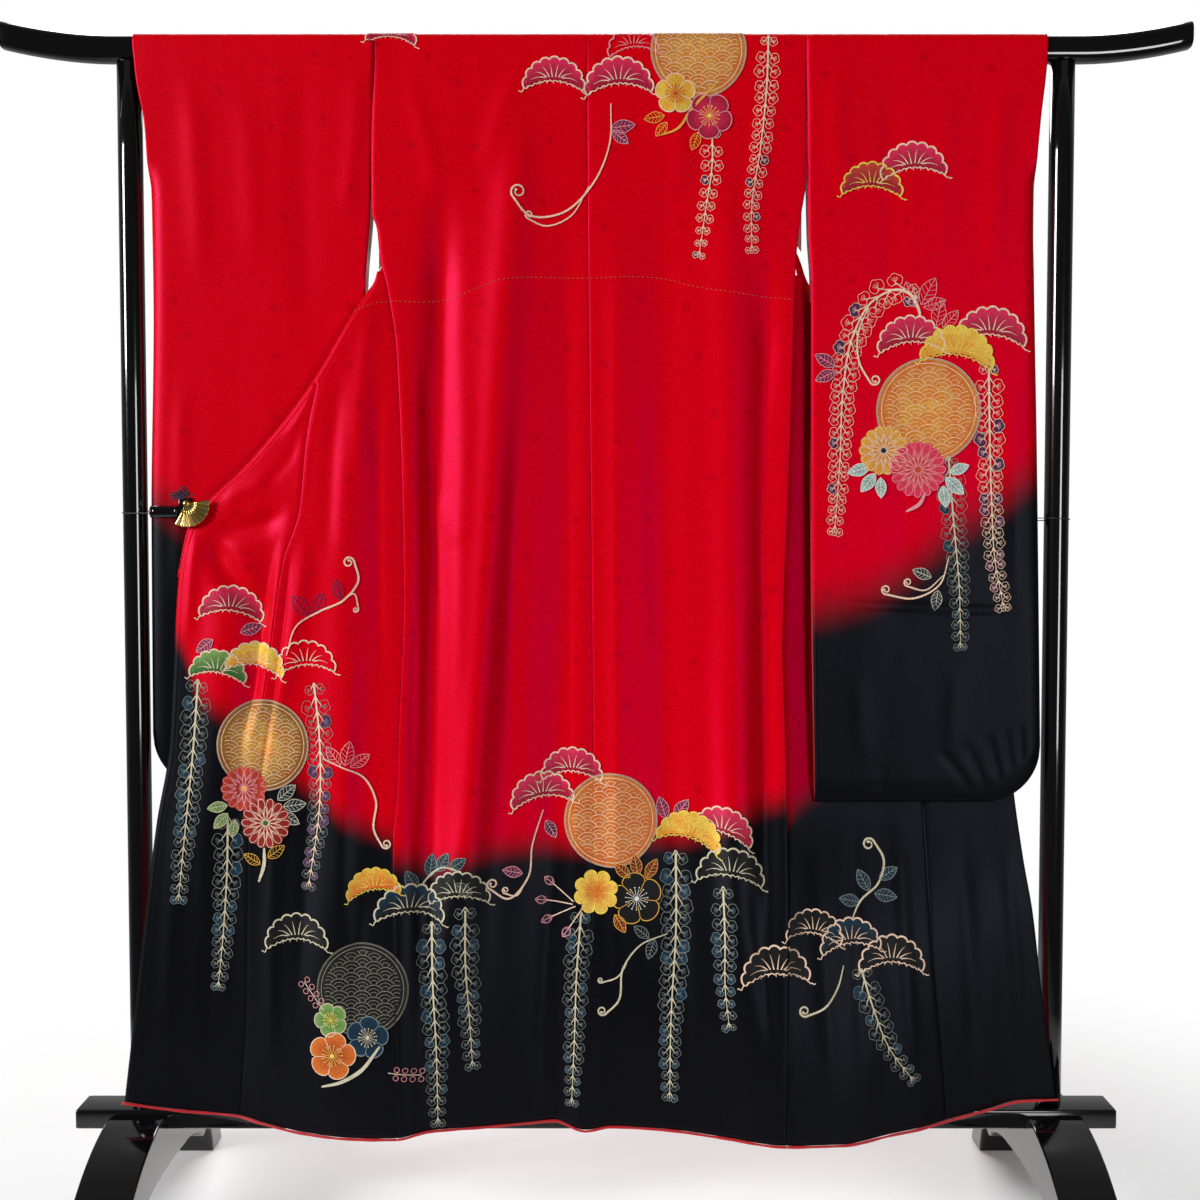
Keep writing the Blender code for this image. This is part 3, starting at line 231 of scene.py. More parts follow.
def line(rows, at, column):
    # A smooth curve through a table's rows, its slopes limited so that it never overshoots.
    table = np.array(rows, dtype=float)
    table = table[np.argsort(table[:, 0])]
    keys, values = table[:, 0], table[:, column]
    steps = np.diff(values) / np.diff(keys)
    slopes = np.concatenate([steps[:1], np.zeros(len(keys) - 2), steps[-1:]])
    same = steps[:-1] * steps[1:] > 0
    slopes[1:-1] = np.where(same, 2 * steps[:-1] * steps[1:] / np.where(same, steps[:-1] + steps[1:], 1), 0)
    at = np.clip(np.asarray(at, dtype=float), keys[0], keys[-1])
    cell = np.clip(np.searchsorted(keys, at) - 1, 0, len(keys) - 2)
    wide = keys[cell + 1] - keys[cell]
    t = (at - keys[cell]) / wide
    start = (2 * t**3 - 3 * t**2 + 1) * values[cell] + (t**3 - 2 * t**2 + t) * wide * slopes[cell]
    end = (3 * t**2 - 2 * t**3) * values[cell + 1] + (t**3 - t**2) * wide * slopes[cell + 1]
    return start + end


def follow(tables, z, column):
    value = line(tables[0], z, column)
    for table in tables[1:]:
        value = np.where(z <= table[0][0], line(table, z, column), value)
    return value


def foldOut(x, z):
    out = np.zeros(np.broadcast(x, z).shape)
    for topX, lowX, topZ, half, topOut, lowOut in longFolds:
        down = np.clip((topZ - z) / (topZ - 0.16), 0, 1)
        amount = (topOut + (lowOut - topOut) * down) * np.clip((topZ - z) / 0.15, 0, 1)
        out += amount * np.exp(-(((x - topX - (lowX - topX) * down) / half) ** 2))
    return out


def creaseOut(x, z, rows):
    # Each crease is a bell across its own bowed line, fading in and out along it.
    out = np.zeros(np.broadcast(x, z).shape)
    for x0, z0, x1, z1, bow, half, high in rows:
        runX, runZ = x1 - x0, z1 - z0
        long = math.hypot(runX, runZ)
        along = ((x - x0) * runX + (z - z0) * runZ) / long**2
        side = ((x - x0) * runZ - (z - z0) * runX) / long - 4 * bow * along * (1 - along)
        out += high * np.exp(-((side / half) ** 2)) * smooth(along / 0.3) * smooth((1 - along) / 0.3)
    return out


# Each panel: the seam lines at its low and high x, how depth turns between them, its creases and its dye line.
panels = {
    "body_left": {"low": (leftSeam,), "high": (centreSeam,), "ease": 1.0, "creases": bodyCreases,
                  "dye": bodyDye},
    "body_right": {"low": (centreSeam,), "high": (rightSeam,), "ease": 1.0, "creases": bodyCreases,
                   "dye": bodyDye},
    "front_left": {"low": (leftEdge, leftOkumi), "high": (leftSeam,), "ease": 1.0, "creases": leftCreases,
                   "dye": leftDye, "free": "low", "rimFrom": cloth["okumiFrom"],
                   "inset": (cloth["edgeIn"], cloth["seamGap"] / 2)},
    "front_right": {"low": (rightSeam,), "high": (rightEdge, rightOkumi), "ease": 0.12, "creases": rightCreases,
                    "dye": rightDye, "free": "high", "rimFrom": cloth["okumiFrom"],
                    "inset": (cloth["seamGap"] / 2, cloth["edgeIn"])},
    "okumi_left": {"low": (leftEdge,), "high": (leftOkumi,), "ease": 1.0, "creases": leftCreases,
                   "dye": leftDye, "free": "low", "rimFrom": 0.0,
                   "inset": (cloth["edgeIn"], -cloth["okumiOver"])},
    "okumi_right": {"low": (rightOkumi,), "high": (rightEdge,), "ease": 1.0, "creases": rightCreases,
                    "dye": rightDye, "free": "high", "rimFrom": 0.0,
                    "inset": (-cloth["okumiOver"], cloth["edgeIn"])},
}


def panelSkin(name, across, z):
    # x and y of a panel's near face: between its seams by across, lifted by folds and creases, and turned back
    # a little at each seam, where the two cloths fold into the seam.
    panel = panels[name]
    lowX, highX = follow(panel["low"], z, 1), follow(panel["high"], z, 1)
    lowY, highY = follow(panel["low"], z, 2), follow(panel["high"], z, 2)
    across = np.clip(across, 0, 1)
    x = lowX * (1 - across) + highX * across
    turn = across ** panel["ease"]
    inside = np.clip(np.minimum(across, 1 - across) / 0.12, 0, 1)
    y = lowY * (1 - turn) + highY * turn - foldOut(x, z) * inside
    near = smooth((hemReach - z) / (hemReach - line(hemRows, x, 2)))
    y = y * (1 - near) + line(hemRows, x, 1) * near
    fromSeam = np.minimum(x - lowX, highX - x)
    rest = smooth(fromSeam / 0.02) * smooth((underBend - z) / 0.03) * smooth((z - line(hemRows, x, 2)) / 0.02)
    y = y - creaseOut(x, z, panel["creases"]) * rest
    free = highX - x if panel.get("free") == "high" else x - lowX
    rim = np.exp(-(((free - 0.0035) / 0.0015) ** 2)) - 0.8 * np.exp(-(((free - 0.0072) / 0.0014) ** 2))
    if "free" in panel:
        y = y - cloth["rim"] * rim * smooth((z - panel["rimFrom"]) / 0.01) * rest
    dip = cloth["seamDip"] * np.exp(-np.maximum(fromSeam,
                                                0) / cloth["seamWide"]) * smooth((underBend - z) / 0.02)
    hang = np.clip((bendZ - z) / 0.05, 0, 1)
    y = (y + dip) * hang - overHalf * (1 - hang) if name.startswith("body") else y + dip
    return x, y


def panelAt(name, x, z):
    panel = panels[name]
    low, high = panel.get("inset", (0.0, 0.0))
    lowX, highX = follow(panel["low"], z, 1) + low, follow(panel["high"], z, 1) - high
    return panelSkin(name, (x - lowX) / np.maximum(highX - lowX, 1e-4), z)[1]


def frontAt(x, z):
    # The near face wherever it is on the back and the pulled fronts: each panel holds its own stretch of x.
    left, middle, right = follow((leftSeam,), z, 1), follow((centreSeam,), z, 1), follow((rightSeam,), z, 1)
    y = np.where(x < middle, panelAt("body_left", x, z), panelAt("body_right", x, z))
    y = np.where(x < left, panelAt("front_left", x, z), y)
    seamLeft = line(leftOkumi, z, 1) + cloth["okumiSwitch"]
    seamRight = line(rightOkumi, z, 1) - cloth["okumiSwitch"]
    y = np.where((x < seamLeft) & (z < cloth["okumiFrom"]), panelAt("okumi_left", x, z), y)
    y = np.where(x > right, panelAt("front_right", x, z), y)
    return np.where((x > seamRight) & (z < cloth["okumiFrom"]), panelAt("okumi_right", x, z), y)


sleeves = {
    "sleeve_left": {"side": -1, "table": leftSleeve, "seam": leftSeam, "hem": cloth["leftSleeveHem"],
                    "dye": leftSleeveDye},
    "sleeve_right": {"side": 1, "table": rightSleeve, "seam": rightSeam, "hem": cloth["rightSleeveHem"],
                     "dye": sleeveDye},
}


def sleeveBase(sleeve, across):
    # The hem's height across a sleeve: level, then up round the lower outer corner.
    table, hem, corner = sleeve["table"], sleeve["hem"], cloth["sleeveCorner"]
    width = abs(float(line(table, hem, 2) - line(table, hem, 1)))
    fromCorner = np.clip(across * width - (width - corner), 0, corner)
    return hem + corner - np.sqrt(np.maximum(corner**2 - fromCorner**2, 0))


def sleeveFaces(name, across, level):
    # x, near y, far y and z of a sleeve: a flat bag whose two faces meet at the hem and at the sewn outer edge.
    sleeve = sleeves[name]
    side, table, base = sleeve["side"], sleeve["table"], sleeveBase(sleeve, across)
    z = base + (underBend - base) * level
    inner = side * np.maximum(side * line(table, z, 1), side * line(sleeve["seam"], z, 1) + cloth["seamGap"])
    outer = line(table, z, 2)
    x = inner + (outer - inner) * across
    middle = (line(table, z, 3) + line(table, z, 4)) / 2
    half = (line(table, z, 4) - line(table, z, 3)) / 2
    low = np.sqrt(np.clip((z - base) / cloth["bagOpen"], 0, 1))
    edge = np.clip(np.abs(outer - x) / cloth["edgeRound"], 0, 1)
    swell = np.sqrt(np.clip(1 - (1 - edge) ** 2, 0, 1))
    wrist = overTop - cloth["wristOpen"]
    openAt = smooth((z - wrist) / 0.05)
    half = np.maximum(half * low * (swell + (1 - swell) * openAt), cloth["bagLeast"])
    calm = smooth((z - base) / 0.03) * smooth((underBend - z) / 0.03) * smooth(np.abs(outer - x) / 0.02)
    folds = creaseOut(side * x, z, sleeveCreases) * calm
    back = creaseOut(side * x + 0.012, z + 0.02, sleeveCreases) * calm
    return x, middle - half - folds, middle + half + 0.7 * back, z


def sleeveAt(name, x, z):
    sleeve = sleeves[name]
    inner, outer = line(sleeve["table"], z, 1), line(sleeve["table"], z, 2)
    across = np.clip((x - inner) / (outer - inner), 0, 1)
    base = sleeveBase(sleeve, across)
    return sleeveFaces(name, across, np.clip((z - base) / (underBend - base), 0, 1))[1]


def overBar(half, corner, top, steps=8):
    # The bend over the bar from the near side to the far side: y and z of each point.
    angles = np.linspace(math.pi, math.pi / 2, steps)
    y, z = -half + corner + corner * np.cos(angles), top - corner + corner * np.sin(angles)
    return np.concatenate([y, -y[::-1]]), np.concatenate([z, z[::-1]])


def gridFaces(columns, rows, wrap=False, flip=False):
    i, j = np.meshgrid(np.arange(columns - 1), np.arange(rows if wrap else rows - 1), indexing="ij")
    a, b = (i * rows + j).ravel(), (i * rows + (j + 1) % rows).ravel()
    faces = np.stack([a, a + rows, b + rows, b], axis=1)
    return faces[:, ::-1] if flip else faces


def makeMesh(name, points, faces, materials, values=None, isSmooth=True):
    # One object from points and a list of face arrays, with its point values as attributes.
    data = bpy.data.meshes.new(name)
    points = np.asarray(points, dtype=np.float32).reshape(-1, 3)
    corners = np.concatenate([np.asarray(f).ravel() for f in faces]).astype(np.int32)
    sizes = np.concatenate([np.full(len(f), np.shape(f)[1]) for f in faces])
    data.vertices.add(len(points))
    data.vertices.foreach_set("co", points.ravel())
    data.loops.add(len(corners))
    data.loops.foreach_set("vertex_index", corners)
    data.polygons.add(len(sizes))
    data.polygons.foreach_set("loop_start", np.concatenate([[0], np.cumsum(sizes)[:-1]]).astype(np.int32))
    data.update(calc_edges=True)
    for key, value in (values or {}).items():
        value = np.asarray(value, dtype=np.float32)
        if value.ndim == 2:
            value = np.concatenate([value, np.ones((len(value), 1), np.float32)], axis=1)
            data.attributes.new(key, "FLOAT_COLOR", "POINT").data.foreach_set("color", value.ravel())
        else:
            data.attributes.new(key, "FLOAT", "POINT").data.foreach_set("value", value)
    if isSmooth:
        data.shade_smooth()
    for material in materials:
        data.materials.append(material)
    obj = bpy.data.objects.new(name, data)
    bpy.context.collection.objects.link(obj)
    return obj


def thicken(obj, wall, lined=True):
    shell = obj.modifiers.new("wall", "SOLIDIFY")
    shell.thickness = wall
    shell.offset = -1
    shell.use_even_offset = True
    if lined:
        shell.material_offset = 1
        shell.material_offset_rim = 0
    return obj


def add(tree, kind, values=None, **settings):
    made = tree.nodes.new(kind)
    for key, value in settings.items():
        setattr(made, key, value)
    for key, value in (values or {}).items():
        if isinstance(value, bpy.types.NodeSocket):
            tree.links.new(value, made.inputs[key])
        else:
            made.inputs[key].default_value = value
    return made


def newMaterial(name):
    material = bpy.data.materials.new(name)
    material.use_nodes = True
    tree = material.node_tree
    return material, tree, tree.nodes["Principled BSDF"]


def setShader(shader, values):
    for key, value in values.items():
        shader.inputs[key].default_value = value


def bumpUp(tree, shader, height, strength, distance):
    bump = add(tree, "ShaderNodeBump", {"Height": height, "Strength": strength, "Distance": distance})
    tree.links.new(bump.outputs[0], shader.inputs["Normal"])


def newGroup(name, inputs, outputs):
    tree = bpy.data.node_groups.new(name, "ShaderNodeTree")
    for label, kind, value in inputs:
        socket = tree.interface.new_socket(label, in_out="INPUT", socket_type=kind)
        if value is not None:
            socket.default_value = value
    for label, kind in outputs:
        tree.interface.new_socket(label, in_out="OUTPUT", socket_type=kind)
    return tree, tree.nodes.new("NodeGroupInput"), tree.nodes.new("NodeGroupOutput")


def useGroup(tree, group, values):
    made = tree.nodes.new("ShaderNodeGroup")
    made.node_tree = group
    for key, value in values.items():
        if isinstance(value, bpy.types.NodeSocket):
            tree.links.new(value, made.inputs[key])
        else:
            made.inputs[key].default_value = value
    return made


def mathNode(tree, operation, first, second=0.0, clamp=False):
    return add(tree, "ShaderNodeMath", {0: first, 1: second}, operation=operation, use_clamp=clamp).outputs[0]


def mixNode(tree, amount, first, second, blend="MIX"):
    made = add(tree, "ShaderNodeMix", {0: amount, 6: first, 7: second}, data_type="RGBA", blend_type=blend)
    return made.outputs[2]


# Crepe silk: a fine uneven grain, a soft unevenness of the hand, and faint woven marks scattered over it.
silk = {"red": colour(214, 0, 12), "black": (0.0030, 0.0031, 0.0044),
        "rough": 0.40, "grainScale": 520.0, "grainHeight": 0.00030, "waveScale": 9.0, "waveHeight": 0.0034,
        "markScale": 9.5, "markSize": 0.062, "markMix": 0.14, "markTone": (0.01, 0.002, 0.004),
        "redTint": (1.0, 0.0, 0.19), "blackTint": (0.12, 0.13, 0.17), "liningWhiteFrom": 1.020,
        "sleeveWhiteFrom": 1.380, "sheen": 0.02, "gloss": 0.62}


def silkGroup():
    tree, given, put = newGroup("silkGrain", (
        ("Vector", "NodeSocketVector", None), ("Grain scale", "NodeSocketFloat", silk["grainScale"]),
        ("Mark scale", "NodeSocketFloat", silk["markScale"]),
        ("Mark size", "NodeSocketFloat", silk["markSize"])),
        (("Grain", "NodeSocketFloat"), ("Wave", "NodeSocketFloat"), ("Mark", "NodeSocketFloat")))
    vector = given.outputs["Vector"]
    grain = add(tree, "ShaderNodeTexNoise", {"Vector": vector, "Scale": given.outputs["Grain scale"],
                                             "Detail": 2.0, "Roughness": 0.6})
    stretch = add(tree, "ShaderNodeMapping", {"Vector": vector, "Scale": (1.0, 0.2, 0.35)})
    wave = add(tree, "ShaderNodeTexNoise", {"Vector": stretch.outputs[0], "Scale": silk["waveScale"],
                                            "Detail": 2.0, "Roughness": 0.45})
    parts = add(tree, "ShaderNodeSeparateXYZ", {0: vector})
    flat = add(tree, "ShaderNodeCombineXYZ", {0: parts.outputs["X"], 1: parts.outputs["Z"], 2: 0.0})
    wobble = add(tree, "ShaderNodeTexNoise", {"Vector": flat.outputs[0], "Scale": 90.0, "Detail": 1.0})
    shift = add(tree, "ShaderNodeVectorMath", {0: wobble.outputs["Color"], 1: (0.5, 0.5, 0.5)},
                operation="SUBTRACT")
    small = add(tree, "ShaderNodeVectorMath", {0: shift.outputs[0], "Scale": 0.012}, operation="SCALE")
    moved = add(tree, "ShaderNodeVectorMath", {0: flat.outputs[0], 1: small.outputs[0]}, operation="ADD")
    cells = add(tree, "ShaderNodeTexVoronoi", {"Vector": moved.outputs[0], "Scale": given.outputs["Mark scale"],
                                               "Randomness": 0.75}, feature="F1", voronoi_dimensions="2D")
    mark = add(tree, "ShaderNodeMath", {0: cells.outputs["Distance"], 1: given.outputs["Mark size"]},
               operation="LESS_THAN")
    tree.links.new(grain.outputs["Fac"], put.inputs["Grain"])
    tree.links.new(wave.outputs["Fac"], put.inputs["Wave"])
    tree.links.new(mark.outputs[0], put.inputs["Mark"])
    return tree


grainGroup = silkGroup()


def silkMaterial(name):
    material, tree, shader = newMaterial(name)
    place = add(tree, "ShaderNodeTexCoord")
    grain = useGroup(tree, grainGroup, {"Vector": place.outputs["Object"]})
    dye = add(tree, "ShaderNodeAttribute", attribute_name="dye")
    cloud = add(tree, "ShaderNodeTexNoise", {"Vector": place.outputs["Object"], "Scale": 30.0, "Detail": 3.0})
    uneven = mathNode(tree, "MULTIPLY", mathNode(tree, "SUBTRACT", cloud.outputs["Fac"], 0.5), 0.16)
    edge = mathNode(tree, "MULTIPLY", mathNode(tree, "MULTIPLY", dye.outputs["Fac"],
                                               mathNode(tree, "SUBTRACT", 1.0, dye.outputs["Fac"])), 4.0)
    amount = mathNode(tree, "ADD", dye.outputs["Fac"], mathNode(tree, "MULTIPLY", uneven, edge), clamp=True)
    base = mixNode(tree, amount, (*silk["red"], 1), (*silk["black"], 1))
    fleck = add(tree, "ShaderNodeMapRange", {"Value": grain.outputs["Grain"], "From Min": 0.30,
                                             "From Max": 0.70, "To Min": 0.78, "To Max": 1.26})
    shade = add(tree, "ShaderNodeCombineColor", {0: fleck.outputs[0], 1: fleck.outputs[0], 2: fleck.outputs[0]})
    base = mixNode(tree, 1.0, base, shade.outputs[0], "MULTIPLY")
    markShade = mixNode(tree, mathNode(tree, "MULTIPLY", grain.outputs["Mark"], silk["markMix"]), base,
                        (*silk["markTone"], 1))
    tree.links.new(markShade, shader.inputs["Base Color"])
    height = mathNode(tree, "ADD", mathNode(tree, "MULTIPLY", grain.outputs["Wave"], silk["waveHeight"]),
                      mathNode(tree, "MULTIPLY", grain.outputs["Grain"], silk["grainHeight"]))
    bumpUp(tree, shader, height, 1.0, 1.0)
    tint = mixNode(tree, amount, (*silk["redTint"], 1), (*silk["blackTint"], 1))
    tree.links.new(tint, shader.inputs["Specular Tint"])
    tree.links.new(tint, shader.inputs["Sheen Tint"])
    setShader(shader, {"Roughness": silk["rough"], "Specular IOR Level": silk["gloss"],
                       "Sheen Weight": silk["sheen"], "Sheen Roughness": 0.35})
    return material


def liningMaterial(name, level):
    # Plain weave: off-white above the level, red below it.
    material, tree, shader = newMaterial(name)
    place = add(tree, "ShaderNodeTexCoord")
    parts = add(tree, "ShaderNodeSeparateXYZ", {0: place.outputs["Object"]})
    lower = add(tree, "ShaderNodeMapRange", {"Value": parts.outputs["Z"], "From Min": level,
                                             "From Max": level + 0.004})
    tone = mixNode(tree, lower.outputs[0], (*colour(176, 6, 20), 1), (*colour(214, 206, 200), 1))
    weave = add(tree, "ShaderNodeTexNoise", {"Vector": place.outputs["Object"], "Scale": 700.0, "Detail": 1.0})
    bumpUp(tree, shader, weave.outputs["Fac"], 0.3, 0.0003)
    tree.links.new(tone, shader.inputs["Base Color"])
    shader.inputs["Roughness"].default_value = 0.55
    return material


def plainSilk(name, tone, rough=0.45):
    material, tree, shader = newMaterial(name)
    place = add(tree, "ShaderNodeTexCoord")
    grain = useGroup(tree, grainGroup, {"Vector": place.outputs["Object"], "Mark size": 0.0})
    fleck = add(tree, "ShaderNodeMapRange", {"Value": grain.outputs["Grain"], "From Min": 0.3, "From Max": 0.7,
                                             "To Min": 0.85, "To Max": 1.15})
    shade = add(tree, "ShaderNodeCombineColor", {0: fleck.outputs[0], 1: fleck.outputs[0], 2: fleck.outputs[0]})
    tree.links.new(mixNode(tree, 1.0, (*tone, 1), shade.outputs[0], "MULTIPLY"), shader.inputs["Base Color"])
    bumpUp(tree, shader, grain.outputs["Grain"], 1.0, 0.0002)
    setShader(shader, {"Roughness": rough, "Sheen Weight": 0.2})
    return material


silkCloth = silkMaterial("kimonoSilk")
lining = liningMaterial("liningSilk", silk["liningWhiteFrom"])
sleeveLining = liningMaterial("sleeveLiningSilk", silk["sleeveWhiteFrom"])
hemSilk = plainSilk("hemSilk", colour(190, 6, 22))
threadMaterial = plainSilk("yellowThread", colour(160, 100, 44), 0.7)
print("materials of the cloth made")


def dyeValue(x, z, rows, soft=0.030):
    edge = line(rows, x, 1)
    return smooth((edge + soft - z) / (2 * soft))


def seamColumns(count, crowd=0.86):
    # Columns that crowd towards both seams.
    t = np.linspace(0, 1, count)
    return (t - crowd * np.sin(2 * math.pi * t) / (2 * math.pi))[:, None]


def tucked(x, y, across):
    # At each sewn seam the panel on the right goes in a little behind its neighbour, as a pressed seam does.
    edge = across < 1e-6
    return x - cloth["tuck"] * edge, y + cloth["tuckDeep"] * edge


def bodyPiece(name, columns=104, rows=232, farRows=40):
    across = seamColumns(columns, 0.55)
    along = np.linspace(0, 1, rows)[None, :]
    panel = panels[name]
    z = np.full((columns, rows), 1.0)
    for _ in range(3):
        x = follow(panel["low"], z, 1) * (1 - across) + follow(panel["high"], z, 1) * across
        z = line(hemRows, x[:, :1], 2) * (1 - along) + underBend * along
    x, y = panelSkin(name, across + 0 * z, z)
    x, y = tucked(x, y, across)
    bendY, bendHigh = overBar(overHalf, overCorner, overTop)
    topX = x[:, -1:]
    drop = neck["drop"] - neck["slope"] * np.maximum(np.abs(topX) - neck["half"], 0)
    clear = np.clip((np.abs(topX) - neck["turnFrom"]) / neck["turnOver"], 0, 1)
    limit = drop + cloth["seamGap"] + neck["turnRoom"] * clear
    farZ = bendZ + (limit - bendZ) * np.linspace(0, 1, farRows + 1)[None, 1:]
    farY = overHalf + 0.002 * (bendZ - farZ) / 0.33
    farY = farY - 0.5 * creaseOut(topX + 0.01, farZ, bodyCreases) * smooth((farZ - limit) / 0.03)
    full = np.ones((columns, 1))
    allX = np.concatenate([x, full * topX * np.ones((1, len(bendY))), topX + 0 * farZ], axis=1)
    allY = np.concatenate([y, full * bendY[None, :], farY], axis=1)
    allZ = np.concatenate([z, full * bendHigh[None, :], farZ], axis=1)
    points = np.stack([allX, allY, allZ], axis=2)
    dye = dyeValue(allX, allZ, panel["dye"])
    obj = makeMesh(name.replace("body", "back_panel"), points, [gridFaces(*points.shape[:2])],
                   [silkCloth, lining], {"dye": dye.ravel()})
    return thicken(obj, cloth["bodyWall"])


def hangingPiece(name, top, columns, rows=210):
    # A pulled front panel from its narrow top down to the hem.
    across = seamColumns(columns, 0.55)
    along = np.linspace(0, 1, rows)[None, :]
    panel = panels[name]
    z = np.full((columns, rows), 0.5)
    for _ in range(5):
        x = follow(panel["low"], z, 1) * (1 - across) + follow(panel["high"], z, 1) * across
        z = line(hemRows, x[:, :1], 2) * (1 - along) + top * along
    x, y = panelSkin(name, across + 0 * z, z)
    low, high = panel.get("inset", (0.0, 0.0))
    x, y = tucked(x + (1 - across) * low - across * high, y, across)
    points = np.stack([x, y, z], axis=2)
    obj = makeMesh(name + "_cloth", points, [gridFaces(*points.shape[:2])], [silkCloth, lining],
                   {"dye": dyeValue(x, z, panel["dye"]).ravel()})
    return thicken(obj, cloth["bodyWall"])


def sleevePiece(name, columns=60, rows=190):
    # Rings round the bag: up the near face, over the bar, down the far face.
    sleeve = sleeves[name]
    side = sleeve["side"]
    across = (1 - (1 - np.linspace(0, 1, columns)) ** 1.25)[:, None]
    level = (np.linspace(0, 1, rows) ** 1.1)[None, :]
    x, near, far, z = sleeveFaces(name, across, level)
    bendY, bendHigh = overBar(overHalf, overCorner, overTop)
    full = np.ones((columns, 1))
    ringX = np.concatenate([x, x[:, -1:] * np.ones((1, len(bendY))), x[:, :0:-1]], axis=1)
    ringY = np.concatenate([near, full * bendY[None, :], far[:, :0:-1]], axis=1)
    ringZ = np.concatenate([z, full * bendHigh[None, :], z[:, :0:-1]], axis=1)
    points = np.stack([ringX, ringY, ringZ], axis=2)
    ring = points.shape[1]
    faces = [gridFaces(columns, ring, wrap=True, flip=side < 0)]
    wrist = overTop - cloth["wristOpen"]
    sewn = int(np.searchsorted(z[-1], wrist))
    j = np.arange(1, sewn)
    last = (columns - 1) * ring
    cap = np.stack([last + j, last + j + 1, last + (ring - j - 1) % ring, last + (ring - j) % ring], axis=1)
    first = np.array([[last, last + 1, last + ring - 1]])
    faces += [cap if side < 0 else cap[:, ::-1], first if side < 0 else first[:, ::-1]]
    dye = dyeValue(side * ringX, ringZ, sleeve["dye"], cloth["sleeveDyeSoft"])
    obj = makeMesh(name + "_cloth", points, faces, [silkCloth, sleeveLining], {"dye": dye.ravel()})
    return thicken(obj, cloth["sleeveWall"])


def endFaces(rows, around):
    # One face over the first ring of a closed form and one over its last.
    ring = np.arange(around)[None]
    return [ring, (rows - 1) * around + ring[:, ::-1]]


def sectionAlong(name, path, across, up, section, materials, values=None):
    # A closed form: a section of (across, up) pairs carried along a path, with one face over each end.
    path, across, up = (np.asarray(v, dtype=float) for v in (path, across, up))
    section = np.asarray(section, dtype=float)
    if section.ndim == 2:
        section = section[None, :, :] + np.zeros((len(path), 1, 1))
    points = path[:, None] + across[:, None] * section[:, :, :1] + up[:, None] * section[:, :, 1:]
    count = points.shape[1]
    faces = [gridFaces(len(path), count, wrap=True)] + endFaces(len(path), count)
    return makeMesh(name, points, faces, materials, values)


def roundBand(width, thick, steps=5):
    # Half-round edges on a flat band: pairs of across (0 to width) and up (0 to thick), going round.
    radius = thick / 2
    angles = np.linspace(-math.pi / 2, math.pi / 2, steps)
    none = 0 * width[:, None]
    out, over = radius * np.cos(angles), radius * np.sin(angles)
    high = np.stack([width[:, None] - radius + out, radius + over + none], 2)
    low = np.stack([radius - out + none, radius - over + none], 2)
    return np.concatenate([high, low], axis=1)


def collarPiece(name, rows, side, steps=150):
    # The collar band behind each front's edge, folded in half along its own outer edge.
    table = np.array(rows)
    place = np.concatenate([[0], np.cumsum(np.linalg.norm(np.diff(table[:, :3], axis=0), axis=1))])
    keyed = [(place[k], *table[k]) for k in range(len(table))]
    at = np.linspace(0, place[-1], steps)
    path = np.stack([line(keyed, at, 1), line(keyed, at, 2), line(keyed, at, 3)], axis=1)
    width = line(keyed, at, 4)
    run = unit(np.gradient(path, axis=0))
    flat = unit(run * np.array([1.0, 0.0, 1.0]))
    below = np.stack([flat[:, 2], 0 * at, -flat[:, 0]], axis=1)
    below *= np.where(below[:, 2:3] > 0, -1.0, 1.0)
    start = np.array([-side * neck["mitre"][0], 0.0, -neck["mitre"][1]])
    blend = smooth(1 - at / 0.03)[:, None]
    below = unit(below * (1 - blend) + start * blend)
    normal = np.cross(run, below)
    normal = unit(normal * np.where(normal[:, 1:2] > 0, -1.0, 1.0))
    section = roundBand(width, cloth["collarThick"])
    obj = sectionAlong(name, path, below, normal, section, [silkCloth], {
        "dye": dyeValue(side * (path[:, 0] + 0 * at), path[:, 2],
                        ((0.1, 0.2), (0.7, 0.2))).repeat(section.shape[1])})
    return fixOutward(obj)


def fixOutward(obj):
    form = bmesh.new()
    form.from_mesh(obj.data)
    bmesh.ops.recalc_face_normals(form, faces=form.faces)
    if form.calc_volume(signed=True) < 0:
        bmesh.ops.reverse_faces(form, faces=form.faces)
    form.to_mesh(obj.data)
    form.free()
    return obj


def neckPiece(count=60):
    # The band across the back of the neck, on the far side, its ends cut to meet the fronts' collars.
    reach = neck["half"] - cloth["seamGap"] * 2
    short = neck["mitre"][0] / neck["mitre"][1]
    along = np.linspace(-1, 1, count)
    radius = cloth["collarThick"] / 2
    angles = np.linspace(-math.pi / 2, math.pi / 2, 5)
    down = np.concatenate([neck["band"] - radius + radius * np.cos(angles), radius - radius * np.cos(angles)])
    back = np.concatenate([radius + radius * np.sin(angles), radius - radius * np.sin(angles)])
    x = along[:, None] * (reach - short * down[None, :])
    z = neck["drop"] - cloth["seamGap"] - down[None, :] + 0 * x
    y = neck["farY"] + back[None, :] + 0 * x
    points = np.stack([x, y, z], axis=2)
    ends = [np.arange(10)[None, :], (count - 1) * 10 + np.arange(10)[None, ::-1]]
    obj = makeMesh("collar_neck_band", points, [gridFaces(count, 10, wrap=True)] + ends, [silkCloth],
                   {"dye": np.zeros(count * 10)})
    return fixOutward(obj)


